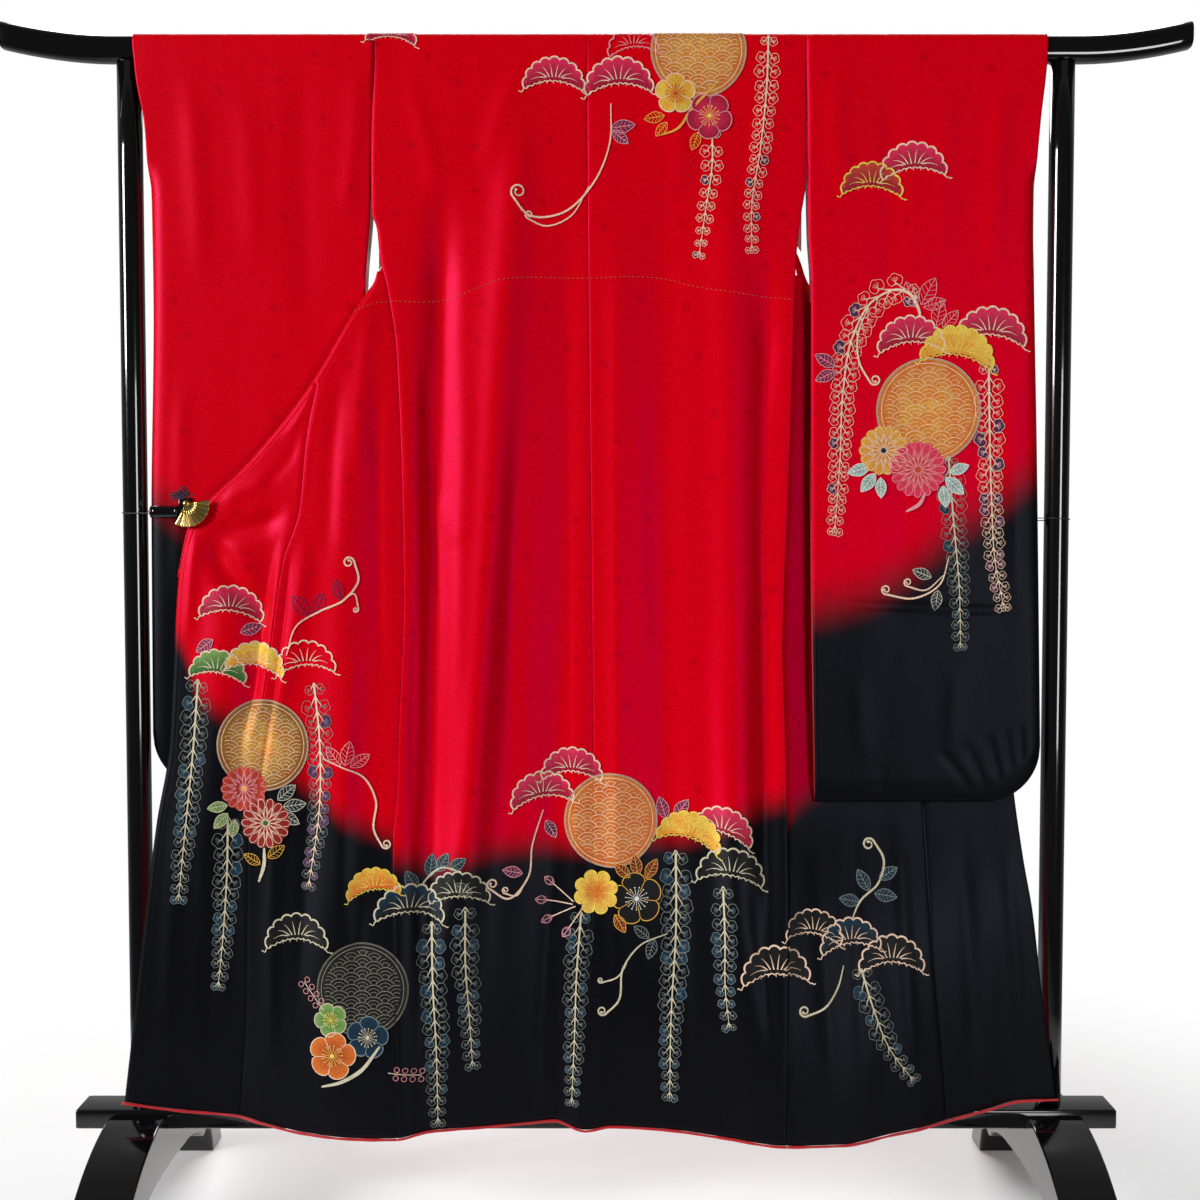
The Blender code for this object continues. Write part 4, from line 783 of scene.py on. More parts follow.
def hemPiece(name, low, high, steps):
    # The lining rolled out under the hem: its edge runs just in front of the cloth and wavers a little.
    x = np.linspace(low, high, steps)
    radius = cloth["hemRoll"] * (1 + 0.12 * np.sin(x * 71) + 0.08 * np.sin(x * 173 + 1))
    y = line(hemRows, x, 1) + cloth["bodyWall"] / 2 - cloth["hemDrop"]
    z = line(hemRows, x, 2) - cloth["hemDrop"] - cloth["hemRoll"]
    path = np.stack([x, y, z], axis=1)
    run = unit(np.gradient(path, axis=0))
    side = unit(np.cross(run, np.array([0.0, 1.0, 0.0])))
    up = np.cross(side, run)
    section = radius[:, None, None] * roundPairs(10)[None]
    return fixOutward(sectionAlong(name, path, side, up, section, [hemSilk]))


def made(obj, slot, *nodes):
    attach(obj, "root")
    if nodes:
        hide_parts(*nodes)
    return obj


# The pulled fronts start this far up from the hem to the bar, on the left and on the right.
hangTop, hangTopRight = (low + (underBend - low) * cloth["hangShare"] for low in (0.166, 0.155))
backLeft = made(bodyPiece("body_left"), "cloth", "body_left")
backRight = made(bodyPiece("body_right"), "cloth", "body_right")
frontLeft = made(hangingPiece("front_left", hangTop, 104), "cloth", "front_left")
frontRight = made(hangingPiece("front_right", hangTopRight, 80), "cloth", "front_right")
okumiLeft = made(hangingPiece("okumi_left", cloth["okumiTop"], 66, 200), "cloth", "okumi_left")
okumiRight = made(hangingPiece("okumi_right", cloth["okumiTop"], 50, 180), "cloth", "okumi_right")
sleeveLeft = made(sleevePiece("sleeve_left"), "cloth", "sleeve_left")
sleeveRight = made(sleevePiece("sleeve_right"), "cloth", "sleeve_right")
collarLeft = made(collarPiece("collar_left_band", leftCollar, -1), "cloth", "collar_left")
collarRight = made(collarPiece("collar_right_band", rightCollar, 1), "cloth", "collar_right")
collarNeck = made(neckPiece(), "cloth", "collar_neck")
hemLevel = 0.16
hemEnds = [float(line(rows, hemLevel, 1)) for rows in (leftEdge, leftSeam, rightSeam, rightEdge)]
hemGap, hemShort = cloth["seamGap"], cloth["edgeIn"]
hemLeft = made(hemPiece("hem_roll_left", hemEnds[0] + hemShort, hemEnds[1] - hemGap, 110), "lining", "hem_left")
hemBack = made(hemPiece("hem_roll_back", hemEnds[1] + hemGap, hemEnds[2] - hemGap, 140), "lining", "hem_back")
hemRight = made(hemPiece("hem_roll_right", hemEnds[2] + hemGap, hemEnds[3] - hemShort, 110), "lining",
                "hem_right")
print("cloth made")


# Drawing on the cloth. A plan point is a complex number, x + z i, and the art lies on the skin under it.
tones = {"cream": colour(240, 206, 180), "pale": colour(206, 196, 168), "rose": colour(232, 150, 156),
         "pink": colour(226, 44, 88), "deepPink": colour(158, 14, 48), "purple": colour(92, 30, 84),
         "gold": colour(228, 172, 66), "lightGold": colour(236, 205, 86), "copper": colour(208, 124, 54),
         "darkGold": colour(140, 96, 40), "green": colour(40, 104, 50), "lightGreen": colour(124, 162, 84),
         "teal": colour(8, 50, 72), "paleTeal": colour(122, 132, 128), "mint": colour(170, 205, 196),
         "orange": colour(222, 122, 46), "rust": colour(146, 30, 28), "ink": colour(9, 9, 12),
         "dim": colour(132, 130, 116), "white": colour(240, 236, 228), "brick": colour(196, 66, 44),
         "soot": colour(24, 24, 20)}


wisteriaStep = 0.0172


def toneOf(tone):
    # A tone by its name, or as numbers.
    return np.asarray(tones[tone] if isinstance(tone, str) else tone, dtype=float)


def plan(rows):
    return np.array([x + 1j * z for x, z in rows])


def curve(points, count=40):
    # A smooth path through points at even lengths.
    points = np.asarray(points, dtype=complex)
    key = np.concatenate([[0], np.cumsum(np.abs(np.diff(points)))])
    slope = np.gradient(points, key)
    at = np.linspace(0, key[-1], count)
    cell = np.clip(np.searchsorted(key, at, side="right") - 1, 0, len(key) - 2)
    wide = key[cell + 1] - key[cell]
    t = (at - key[cell]) / wide
    start = (2 * t**3 - 3 * t**2 + 1) * points[cell] + (t**3 - 2 * t**2 + t) * wide * slope[cell]
    return start + (3 * t**2 - 2 * t**3) * points[cell + 1] + (t**3 - t**2) * wide * slope[cell + 1]


def newArt(name, skin, lift=0.0008):
    return {"name": name, "skin": skin, "spots": [], "faces": [], "tones": [], "foils": [], "lifts": [],
            "count": 0, "lift": lift}


def putArt(art, spots, faces, tone, foil=0.0, above=0.0):
    # Faces are turned to the viewer by their plan area.
    spots, faces = np.asarray(spots).ravel(), np.asarray(faces)
    loop = spots[faces]
    area = np.sum(np.imag(np.conj(loop) * np.roll(loop, -1, axis=1)))
    faces = faces[:, ::-1] if area < 0 else faces
    art["faces"].append(faces + art["count"])
    art["spots"].append(spots)
    art["tones"].append(np.zeros((len(spots), 3)) + toneOf(tone))
    art["foils"].append(np.full(len(spots), float(foil)))
    art["lifts"].append(np.full(len(spots), art["lift"] + above))
    art["count"] += len(spots)


def ribbons(art, paths, width, tone, foil=0.0, closed=False, above=0.00012):
    # Flat strokes along one or many paths of the same length.
    paths = np.atleast_2d(paths)
    run = np.roll(paths, -1, 1) - np.roll(paths, 1, 1) if closed else np.gradient(paths, axis=1)
    half = np.asarray(width) / 2 * 1j * run / np.maximum(np.abs(run), 1e-9)
    spots = np.stack([paths - half, paths + half], axis=2)
    many, steps = paths.shape
    i = np.arange(steps if closed else steps - 1)
    n = (i + 1) % steps
    quad = np.stack([2 * i, 2 * n, 2 * n + 1, 2 * i + 1], axis=1)
    faces = (quad[None] + 2 * steps * np.arange(many)[:, None, None]).reshape(-1, 4)
    putArt(art, spots, faces, tone, foil, above)


def blobs(art, centres, rims, inner, outer, foil=0.0, rings=1, above=0.0):
    # Filled outlines, coloured from the inner tone at each centre to the outer tone at its rim.
    centres, rims = np.atleast_1d(centres), np.atleast_2d(rims)
    many, steps = rims.shape
    share = np.linspace(0, 1, rings + 1)[1:]
    ringSpots = centres[:, None, None] + (rims - centres[:, None])[:, None, :] * share[None, :, None]
    spots = np.concatenate([centres[:, None], ringSpots.reshape(many, -1)], axis=1)
    mix = np.concatenate([[0.0], np.repeat(share, steps)])[None, :, None]
    tone = toneOf(inner) * (1 - mix) + toneOf(outer) * mix + np.zeros((many, 1, 1))
    i = np.arange(steps)
    n = (i + 1) % steps
    shift = (1 + rings * steps) * np.arange(many)[:, None, None]
    first = np.stack([0 * i, 1 + i, 1 + n], axis=1)[None] + shift
    base = art["count"]
    putArt(art, spots, first.reshape(-1, 3), tone.reshape(-1, 3), foil, above)
    flip = not np.array_equal(art["faces"][-1], first.reshape(-1, 3) + base)
    for ring in range(rings - 1):
        a = 1 + ring * steps
        quad = np.stack([a + i, a + steps + i, a + steps + n, a + n], axis=1)[None] + shift + base
        quad = quad.reshape(-1, 4)
        art["faces"].append(quad[:, ::-1] if flip else quad)


def overBarPoint(z, y, lift):
    # A plan height above the bend goes on over the bar and down the far side.
    run = np.maximum(z - bendZ, 0)
    quarter, flat = overCorner * math.pi / 2, 2 * (overHalf - overCorner)
    reach = overCorner + lift
    first = np.clip(run / overCorner, 0, math.pi / 2)
    last = np.clip((run - quarter - flat) / overCorner, 0, math.pi / 2)
    turn = first + last
    along = np.clip(run - quarter, 0, flat)
    down = np.maximum(run - 2 * quarter - flat, 0)
    overY = -overHalf + overCorner + along - reach * np.cos(turn)
    overZ = bendZ + reach * np.sin(turn) - down
    return np.where(run > 0, overY, y - lift), np.where(run > 0, overZ, z)


def finishArt(art, material):
    spots = np.concatenate(art["spots"])
    lift = np.concatenate(art["lifts"])
    x, z = spots.real, spots.imag
    y, z = overBarPoint(z, art["skin"](x, np.minimum(z, bendZ)), lift)
    triangles = [f for f in art["faces"] if f.shape[1] == 3]
    quads = [f for f in art["faces"] if f.shape[1] == 4]
    faces = [np.concatenate(group) for group in (triangles, quads) if group]
    return makeMesh(art["name"], np.stack([x, y, z], axis=1), faces, [material],
                    {"paint": np.concatenate(art["tones"]), "foil": np.concatenate(art["foils"])},
                    isSmooth=True)


def pine(art, x, z, wide, tilt, low, high, rim, foil=0.0, lobes=9):
    # A clump of pine: a low dome with a scalloped top over an arched foot, ribs spreading up, a fringe below.
    size = wide / 2 * np.exp(1j * math.radians(tilt))
    at = x + 1j * z
    share = np.linspace(0, 1, lobes * 9 + 1)
    angle = math.pi * (1 - share)
    bump = 0.94 + 0.085 * np.abs(np.sin(math.pi * lobes * share)) ** 0.7
    top = bump * (np.cos(angle) + 1.04j * np.sin(angle) ** 0.9)
    across = np.cos(angle) * 0.93
    foot = across + 0.34j * (1 - across**2) - 0.02j
    layers = np.linspace(0, 1, 6)
    grid = foot[:, None] * (1 - layers) + top[:, None] * layers
    if low is not None:
        mix = layers[None, :, None] ** 1.3
        tone = toneOf(low) * (1 - mix) + toneOf(high) * mix + np.zeros((len(share), 1, 1))
        putArt(art, at + size * grid, gridFaces(len(share), 6), tone.reshape(-1, 3), foil)
    ribbons(art, at + size * top, wide * 0.026, rim, above=0.00018)
    k = np.arange(1, lobes) / lobes
    ribEnd = 0.80 * (np.cos(math.pi * (1 - k)) + 1.04j * np.sin(math.pi * k))
    ribStart = 0.30 * np.cos(math.pi * (1 - k)) + 1j * (0.36 + 0.04 * np.sin(math.pi * k))
    t = np.linspace(0, 1, 7)
    bowed = ribStart[:, None] * (1 - t) + ribEnd[:, None] * t + 0.05j * np.sin(math.pi * t)
    ribbons(art, at + size * bowed, wide * 0.016 * (1.15 - t), rim, above=0.00018)
    t = np.linspace(-1.14, 1.16, 60)
    wavy = 0.34 * np.clip(1 - t**2, 0, 1) - 0.06 + 0.022 * np.sin(t * 38)
    fringe = t + 1j * wavy - 0.05j * (np.abs(t) > 1) * 1.0
    ribbons(art, at + size * fringe, wide * 0.016, rim, above=0.00018)
    foots = np.linspace(-0.82, 0.82, 9)
    feet = foots[:, None]
    strokes = feet + (0.10 * feet - 0.11j) * np.linspace(0, 1, 3) + 0.30j * (1 - feet**2)
    ribbons(art, at + size * strokes, wide * 0.013 * np.array([1.1, 0.9, 0.4]), rim, above=0.00018)
    art["lift"] += 0.00007


def wisteria(art, rows, wide, stem, outline, fill=None, often=0.3, seed=1):
    # A hanging raceme: a bold stem, and at each step a lobed blossom on either side with strokes down to it.
    path = curve(plan(rows), 200)
    long = np.sum(np.abs(np.diff(path)))
    count = int(long / wisteriaStep)
    spread = np.linspace(0, 1, len(path))
    at = 0.015 + 0.975 * np.linspace(0, 1, count) ** 0.90
    spine = np.interp(at, spread, path.real) + 1j * np.interp(at, spread, path.imag)
    run = np.gradient(spine)
    run /= np.abs(run)
    random = np.random.default_rng(seed)
    theta = np.linspace(-math.pi, math.pi, 23)[:-1]
    lobes = 0.80 + 0.20 * np.abs(np.cos(2.5 * theta)) ** 0.7
    petal = lobes * (0.30 + 0.70 * smooth((math.pi - np.abs(theta)) / 1.3)) * np.exp(1j * theta)
    ribbons(art, path, wide * (0.072 - 0.050 * spread), stem, above=0.00024)
    shrink = (1 - 0.50 * at**1.5) * np.minimum(1, 0.62 + 4 * at)
    for side in (-1, 1):
        size = wide * 0.262 * shrink * random.uniform(0.88, 1.10, count)
        out = side * 1j * run * np.exp(-side * 1j * random.uniform(0.12, 0.42, count))
        centre = spine + out * size * 1.06
        rims = centre[:, None] + out[:, None] * size[:, None] * petal[None, :]
        chosen = random.uniform(0, 1, count) < often
        if fill is not None and chosen.any():
            blobs(art, centre[chosen], rims[chosen], fill, toneOf(fill) * 0.7)
        ribbons(art, rims, 0.00070, outline, closed=True, above=0.00012)
        t = np.linspace(0, 1, 5)
        reach = (out * size * 0.82)[:, None] * t
        veins = spine[:, None] - (run * size * 1.05)[:, None] * (1 - t) + reach
        ribbons(art, veins, wide * 0.046 * (1.15 - 0.90 * t), stem, above=0.00018)
        for turn in (-0.75, -0.38, 0.0, 0.38, 0.75):
            spray = centre[:, None] + (out * size)[:, None] * ((1.05 * t - 0.35) * np.exp(1j * turn) - 0.15)
            ribbons(art, spray, 0.00050, outline, above=0.00018)
    bud = path[-1] + wide * 0.07 * np.exp(1j * theta)
    ribbons(art, bud, 0.00080, outline, closed=True)
    art["lift"] += 0.00007


def petalLoops(petals, inner, outer, wide, turn=0.0, steps=17, blunt=0.5):
    u = np.linspace(0, 2 * math.pi, steps)[:-1]
    t = 0.5 - 0.5 * np.cos(u)
    loop = inner + (outer - inner) * t + 1j * wide * np.sin(u) * t**blunt
    return loop[None, :] * np.exp(1j * (turn + 2 * math.pi * np.arange(petals) / petals))[:, None]


def chrysanthemum(art, x, z, radius, petals, inner, outer, rim, middle, foil=0.0):
    # Round-ended petals in two rings about a small eye.
    at = x + 1j * z
    theta = np.linspace(0, 2 * math.pi, petals * 6 + 1)[:-1]
    edge = 0.94 + 0.07 * np.abs(np.cos(petals * theta / 2))
    if inner is not None:
        blobs(art, at, at + radius * edge * np.exp(1j * theta), inner, outer, foil, rings=5)
    wide = math.pi / petals * 0.80
    ribbons(art, at + radius * petalLoops(petals, 0.34, 1.0, wide), 0.00085, rim, closed=True)
    inside = petalLoops(petals, 0.13, 0.66, wide * 0.62, math.pi / petals)
    ribbons(art, at + radius * inside, 0.00065, rim, closed=True)
    eye = roundSpots(16)
    blobs(art, at, at + radius * 0.11 * eye, middle, middle, foil, above=0.00016)
    ribbons(art, at + radius * 0.13 * eye, 0.0009, rim, closed=True, above=0.00020)
    art["lift"] += 0.00007


def plum(art, x, z, radius, inner, outer, rim, stamens, foil=0.0, turn=0.3, petals=5):
    # Five round petals, with a ring of stamens about the eye.
    at = x + 1j * z
    theta = np.linspace(0, 2 * math.pi, petals * 14 + 1)[:-1]
    edge = 0.76 + 0.26 * np.abs(np.cos(petals * theta / 2)) ** 0.55
    outline = at + radius * edge * np.exp(1j * (theta + turn))
    if inner is not None:
        blobs(art, at, outline, inner, outer, foil, rings=4)
    ribbons(art, outline, 0.0014, rim, closed=True)
    t = np.linspace(0, 1, 4)
    split = np.exp(1j * (turn + math.pi / petals + 2 * math.pi * np.arange(petals) / petals))
    ribbons(art, at + radius * split[:, None] * (0.30 + 0.46 * t), 0.0010, rim)
    spokes = np.exp(1j * (turn + 2 * math.pi * np.arange(petals * 3) / (petals * 3)))
    ribbons(art, at + radius * spokes[:, None] * (0.12 + 0.28 * t), 0.0007, stamens, above=0.00018)
    dot = roundSpots(8)
    heads = at + radius * spokes * 0.44
    blobs(art, heads, heads[:, None] + 0.0010 * dot, stamens, stamens, above=0.00020)
    blobs(art, at, at + radius * 0.10 * dot, stamens, stamens, above=0.00020)
    art["lift"] += 0.00007


def leaf(art, x, z, long, angle, low, high, rim, veins=4, wide=0.30):
    # A pointed oval with a midrib and paired veins.
    at, size = x + 1j * z, long * np.exp(1j * math.radians(angle))
    t = np.linspace(0, 1, 15)
    half = wide * np.sin(math.pi * t) ** 0.85 * (1 - 0.25 * t)
    outline = np.concatenate([t + 1j * half, (t - 1j * half)[-2:0:-1]])
    if low is not None:
        blobs(art, at + size * 0.45, at + size * outline, low, high, rings=2)
    ribbons(art, at + size * outline, 0.0010, rim, closed=True)
    ribbons(art, at + size * (np.linspace(0, 0.95, 6) + 0j), 0.0010, rim)
    start = np.linspace(0.16, 0.68, veins)
    t = np.linspace(0, 1, 3)
    for side in (-1, 1):
        reach = wide * np.sin(math.pi * (start + 0.10)) ** 0.85 * 0.80
        vein = start[:, None] + (0.17 + 1j * side * reach[:, None]) * t
        ribbons(art, at + size * vein, 0.0006, rim)
    art["lift"] += 0.00004


def leaves(art, rows, low, high, rim):
    for x, z, long, angle in rows:
        leaf(art, x, z, long, angle, low, high, rim)


def tendril(art, rows, width, tone, curl=0.010, hand=1, turns=1.2):
    # A stroke that ends in a curl with a small round head.
    path = curve(plan(rows), 48)
    if curl:
        run = (path[-1] - path[-2]) / abs(path[-1] - path[-2])
        centre = path[-1] + 1j * hand * curl * run
        t = np.linspace(0, 1, 34)[1:]
        spin = np.exp(1j * hand * 2 * math.pi * turns * t)
        path = np.concatenate([path, centre + (path[-1] - centre) * (1 - 0.62 * t) * spin])
    share = np.linspace(0, 1, len(path))
    ribbons(art, path, width * (0.50 + 0.60 * np.sin(math.pi * share) ** 0.8), tone, above=0.00020)
    dot = roundSpots(12)
    if curl:
        blobs(art, path[-1], path[-1] + width * 0.75 * dot, tone, tone, above=0.00022)


def roundel(art, x, z, radius, inner, outer, rim, foil=0.9, scale=0.25):
    # A gold disc in a double rim, filled with wave scales: each shows where its lower neighbours leave it.
    at = x + 1j * z
    circle = roundSpots(96)
    if inner is not None:
        blobs(art, at, at + radius * circle, inner, outer, foil, rings=24)
    ribbons(art, at + radius * 0.985 * circle, radius * 0.035, toneOf(rim) * 0.55, closed=True)
    ribbons(art, at + radius * 0.90 * circle, 0.0011, rim, closed=True)
    q = radius * scale
    arc = np.exp(1j * np.linspace(0, math.pi, 33))
    for row in range(-8, 9):
        for column in range(-4, 5):
            centre = (2 * q * (column + 0.5 * (row % 2))) + 1j * row * q / 2
            for share in (0.94, 0.64, 0.34):
                spots = centre + q * share * arc
                clear = (np.abs(spots) < radius * 0.84) & (np.abs(spots - centre + 1j * q) > q)
                for side in (-1, 1):
                    clear &= np.abs(spots - (centre + side * q - 0.5j * q)) > q
                if clear.sum() > 3:
                    first = int(np.argmax(clear))
                    last = len(clear) - int(np.argmax(clear[::-1]))
                    if clear[first:last].all():
                        stroke = curve(spots[first:last], 12)
                        ribbons(art, at + stroke, 0.0010 if share > 0.9 else 0.0007, rim, above=0.00016)
    art["lift"] += 0.00010


def paintMaterial():
    # Dyed colour and gold leaf: the leaf is metal, crackled and mottled; the dye is matt like the silk.
    material, tree, shader = newMaterial("paintAndGold")
    place = add(tree, "ShaderNodeTexCoord")
    paint = add(tree, "ShaderNodeAttribute", attribute_name="paint")
    foil = add(tree, "ShaderNodeAttribute", attribute_name="foil")
    fleck = add(tree, "ShaderNodeTexNoise", {"Vector": place.outputs["Object"], "Scale": 520.0, "Detail": 3.0})
    cloud = add(tree, "ShaderNodeTexNoise", {"Vector": place.outputs["Object"], "Scale": 55.0, "Detail": 3.0})
    shade = add(tree, "ShaderNodeMapRange", {"Value": fleck.outputs["Fac"], "From Min": 0.3, "From Max": 0.7,
                                             "To Min": 0.72, "To Max": 1.28})
    grey = add(tree, "ShaderNodeCombineColor", {0: shade.outputs[0], 1: shade.outputs[0], 2: shade.outputs[0]})
    tone = mixNode(tree, 1.0, paint.outputs["Color"], grey.outputs[0], "MULTIPLY")
    warm = mixNode(tree, 1.0, tone, (1.0, 0.62, 0.38, 1), "MULTIPLY")
    spread = add(tree, "ShaderNodeMapRange", {"Value": cloud.outputs["Fac"], "From Min": 0.42,
                                              "From Max": 0.62})
    mixed = mixNode(tree, mathNode(tree, "MULTIPLY", spread.outputs[0], foil.outputs["Fac"]), tone, warm)
    tree.links.new(mixed, shader.inputs["Base Color"])
    metal = mathNode(tree, "MULTIPLY", foil.outputs["Fac"], 0.30)
    tree.links.new(metal, shader.inputs["Metallic"])
    bumpUp(tree, shader, fleck.outputs["Fac"], 0.6, 0.0006)
    setShader(shader, {"Roughness": 0.52, "Specular IOR Level": 0.22})
    return material


paintAndGold = paintMaterial()


def backTopArt():
    art = newArt("art_back_top", frontAt)
    pine(art, 0.055, 1.740, 0.074, 6, None, None, "rose")
    pine(art, -0.300, 1.755, 0.074, -4, "deepPink", "pink", "cream", lobes=8)
    roundel(art, 0.150, 1.746, 0.070, "gold", "copper", "cream")
    wisteria(art, ((0.252, 1.765), (0.250, 1.70), (0.240, 1.60), (0.228, 1.520), (0.228, 1.452)), 0.036,
             "cream", "cream", "purple", 0.14, seed=3)
    wisteria(art, ((0.170, 1.628), (0.170, 1.58), (0.160, 1.51), (0.151, 1.446)), 0.034, "cream",
             "cream", "purple", 0.14, seed=5)
    tendril(art, ((0.022, 1.668), (0.020, 1.610), (-0.004, 1.552), (-0.052, 1.508), (-0.100, 1.506),
                  (-0.122, 1.532)), 0.0026, "cream", 0.011, -1)
    tendril(art, ((-0.010, 1.548), (-0.040, 1.502), (-0.075, 1.490), (-0.100, 1.500)), 0.0020, "cream", 0.006,
            -1)
    leaves(art, ((0.022, 1.632, 0.036, 8), (0.024, 1.628, 0.030, -38)), "deepPink", "purple", "rose")
    pine(art, -0.062, 1.688, 0.090, -2, "deepPink", "pink", "cream")
    pine(art, 0.034, 1.683, 0.100, 3, "deepPink", "pink", "cream")
    tendril(art, ((0.180, 1.700), (0.140, 1.660), (0.118, 1.630), (0.096, 1.622)), 0.0036, "gold", 0)
    leaves(art, ((0.100, 1.650, 0.030, 190), (0.104, 1.640, 0.026, 230), (0.150, 1.626, 0.028, 250)), None,
           None, "gold")
    plum(art, 0.116, 1.682, 0.029, "gold", "lightGold", "cream", "brick", 0.8)
    plum(art, 0.166, 1.650, 0.033, "pink", "deepPink", "rose", "lightGold", turn=0.9)
    return art


def rightSleeveArt():
    art = newArt("art_sleeve_right", lambda x, z: sleeveAt("sleeve_right", x, z))
    pine(art, 0.466, 1.562, 0.096, 4, "deepPink", "pink", "cream")
    pine(art, 0.404, 1.536, 0.090, -2, "deepPink", "brick", "lightGold")
    wisteria(art, ((0.470, 1.386), (0.446, 1.398), (0.408, 1.382), (0.378, 1.330), (0.364, 1.250),
                   (0.360, 1.150), (0.352, 1.040)), 0.046, "cream", "cream", "purple", 0.16, seed=7)
    tendril(art, ((0.476, 1.336), (0.474, 1.370), (0.458, 1.394), (0.428, 1.398)), 0.0040, "cream", 0)
    tendril(art, ((0.400, 1.372), (0.385, 1.330), (0.388, 1.290), (0.404, 1.262)), 0.0026, "cream", 0.008, 1)
    leaves(art, ((0.470, 1.372, 0.040, 112), (0.478, 1.376, 0.044, 62), (0.482, 1.372, 0.034, 18),
                 (0.500, 1.344, 0.040, 78), (0.510, 1.342, 0.034, 48)), None, None, "rose")
    leaves(art, ((0.352, 1.286, 0.034, 150), (0.352, 1.278, 0.032, 205)), "deepPink", "purple", "rose")
    pine(art, 0.580, 1.318, 0.104, -4, "deepPink", "pink", "cream")
    wisteria(art, ((0.578, 1.288), (0.580, 1.200), (0.584, 1.090), (0.590, 1.000), (0.604, 0.928)), 0.044,
             "cream", "cream", "purple", 0.16, seed=11)
    roundel(art, 0.490, 1.221, 0.077, "gold", "copper", "cream")
    pine(art, 0.464, 1.308, 0.098, 3, "deepPink", "pink", "cream")
    pine(art, 0.530, 1.288, 0.108, -8, "gold", "lightGold", "lightGold", 0.75)
    wisteria(art, ((0.520, 1.150), (0.528, 1.060), (0.538, 0.950), (0.540, 0.870)), 0.042, "pale",
             "paleTeal", "teal", 0.3, seed=13)
    tendril(art, ((0.522, 1.006), (0.508, 0.964), (0.470, 0.944), (0.428, 0.950)), 0.0026, "cream", 0.007, -1)
    tendril(art, ((0.514, 0.978), (0.486, 0.956), (0.460, 0.962)), 0.0022, "cream", 0.006, -1)
    leaves(art, ((0.496, 0.975, 0.030, 158), (0.506, 0.956, 0.030, 262)), "ink", "teal", "pale")
    leaves(art, ((0.404, 1.138, 0.034, 196), (0.412, 1.128, 0.034, 232), (0.420, 1.122, 0.030, 272),
                 (0.516, 1.122, 0.036, 318), (0.512, 1.110, 0.032, 278), (0.522, 1.130, 0.030, 20)),
           "paleTeal", "mint", "white")
    chrysanthemum(art, 0.424, 1.162, 0.036, 14, "copper", "gold", "cream", "teal", 0.6)
    chrysanthemum(art, 0.475, 1.134, 0.041, 16, "brick", "pink", "rose", "brick")
    tendril(art, ((0.486, 1.100), (0.478, 1.084), (0.458, 1.072)), 0.0050, "rose", 0)
    return art


def leftFrontArt():
    art = newArt("art_front_left", frontAt)
    wisteria(art, ((-0.584, 0.822), (-0.590, 0.740), (-0.602, 0.620), (-0.614, 0.500)), 0.046, "pale",
             "paleTeal", "teal", 0.35, seed=17)
    wisteria(art, ((-0.412, 0.818), (-0.404, 0.740), (-0.404, 0.640), (-0.420, 0.524)), 0.042, "cream",
             "paleTeal", "purple", 0.35, seed=19)
    wisteria(art, ((-0.540, 0.620), (-0.542, 0.540), (-0.548, 0.450), (-0.556, 0.372)), 0.044, "pale",
             "paleTeal", "teal", 0.35, seed=23)
    pine(art, -0.536, 0.915, 0.092, -6, "deepPink", "pink", "cream")
    tendril(art, ((-0.452, 0.862), (-0.436, 0.906), (-0.404, 0.926), (-0.366, 0.944), (-0.346, 0.972),
                  (-0.352, 1.000)), 0.0026, "cream", 0.008, 1)
    tendril(art, ((-0.372, 0.938), (-0.352, 0.952), (-0.346, 0.930)), 0.0018, "cream", 0.004, -1)
    leaves(art, ((-0.420, 0.920, 0.038, 128), (-0.412, 0.922, 0.034, 66), (-0.372, 0.944, 0.030, 104)), None,
           None, "purple")
    leaves(art, ((-0.560, 0.885, 0.032, 216), (-0.520, 0.895, 0.032, 20)), "deepPink", "purple", "rose")
    pine(art, -0.424, 0.836, 0.090, 4, None, None, "cream")
    roundel(art, -0.488, 0.730, 0.067, "gold", "darkGold", "cream")
    pine(art, -0.556, 0.826, 0.084, -8, "green", "lightGreen", "cream", 0.4, lobes=8)
    pine(art, -0.500, 0.836, 0.086, -10, "gold", "lightGold", "cream", 0.75, lobes=8)
    tendril(art, ((-0.400, 0.712), (-0.372, 0.700), (-0.340, 0.684), (-0.322, 0.650), (-0.324, 0.606),
                  (-0.312, 0.584)), 0.0026, "cream", 0.007, 1)
    leaves(art, ((-0.372, 0.702, 0.034, 128), (-0.366, 0.702, 0.036, 78), (-0.358, 0.700, 0.032, 32)), None,
           None, "rose")
    leaves(art, ((-0.466, 0.650, 0.034, 40), (-0.458, 0.640, 0.034, 8), (-0.460, 0.630, 0.030, 330)), "ink",
           "teal", "pale")
    leaves(art, ((-0.540, 0.642, 0.030, 190), (-0.540, 0.630, 0.030, 228), (-0.530, 0.620, 0.026, 262)),
           "green", "lightGreen", "pale")
    chrysanthemum(art, -0.516, 0.666, 0.033, 14, "rust", "brick", "rose", "gold", 0.2)
    chrysanthemum(art, -0.484, 0.616, 0.036, 14, "rust", "rust", "cream", "green")
    tendril(art, ((-0.486, 0.580), (-0.486, 0.556), (-0.494, 0.530)), 0.0050, "pale", 0)
    leaves(art, ((-0.480, 0.566, 0.030, 36), (-0.492, 0.556, 0.028, 150)), None, None, "gold")
    return art


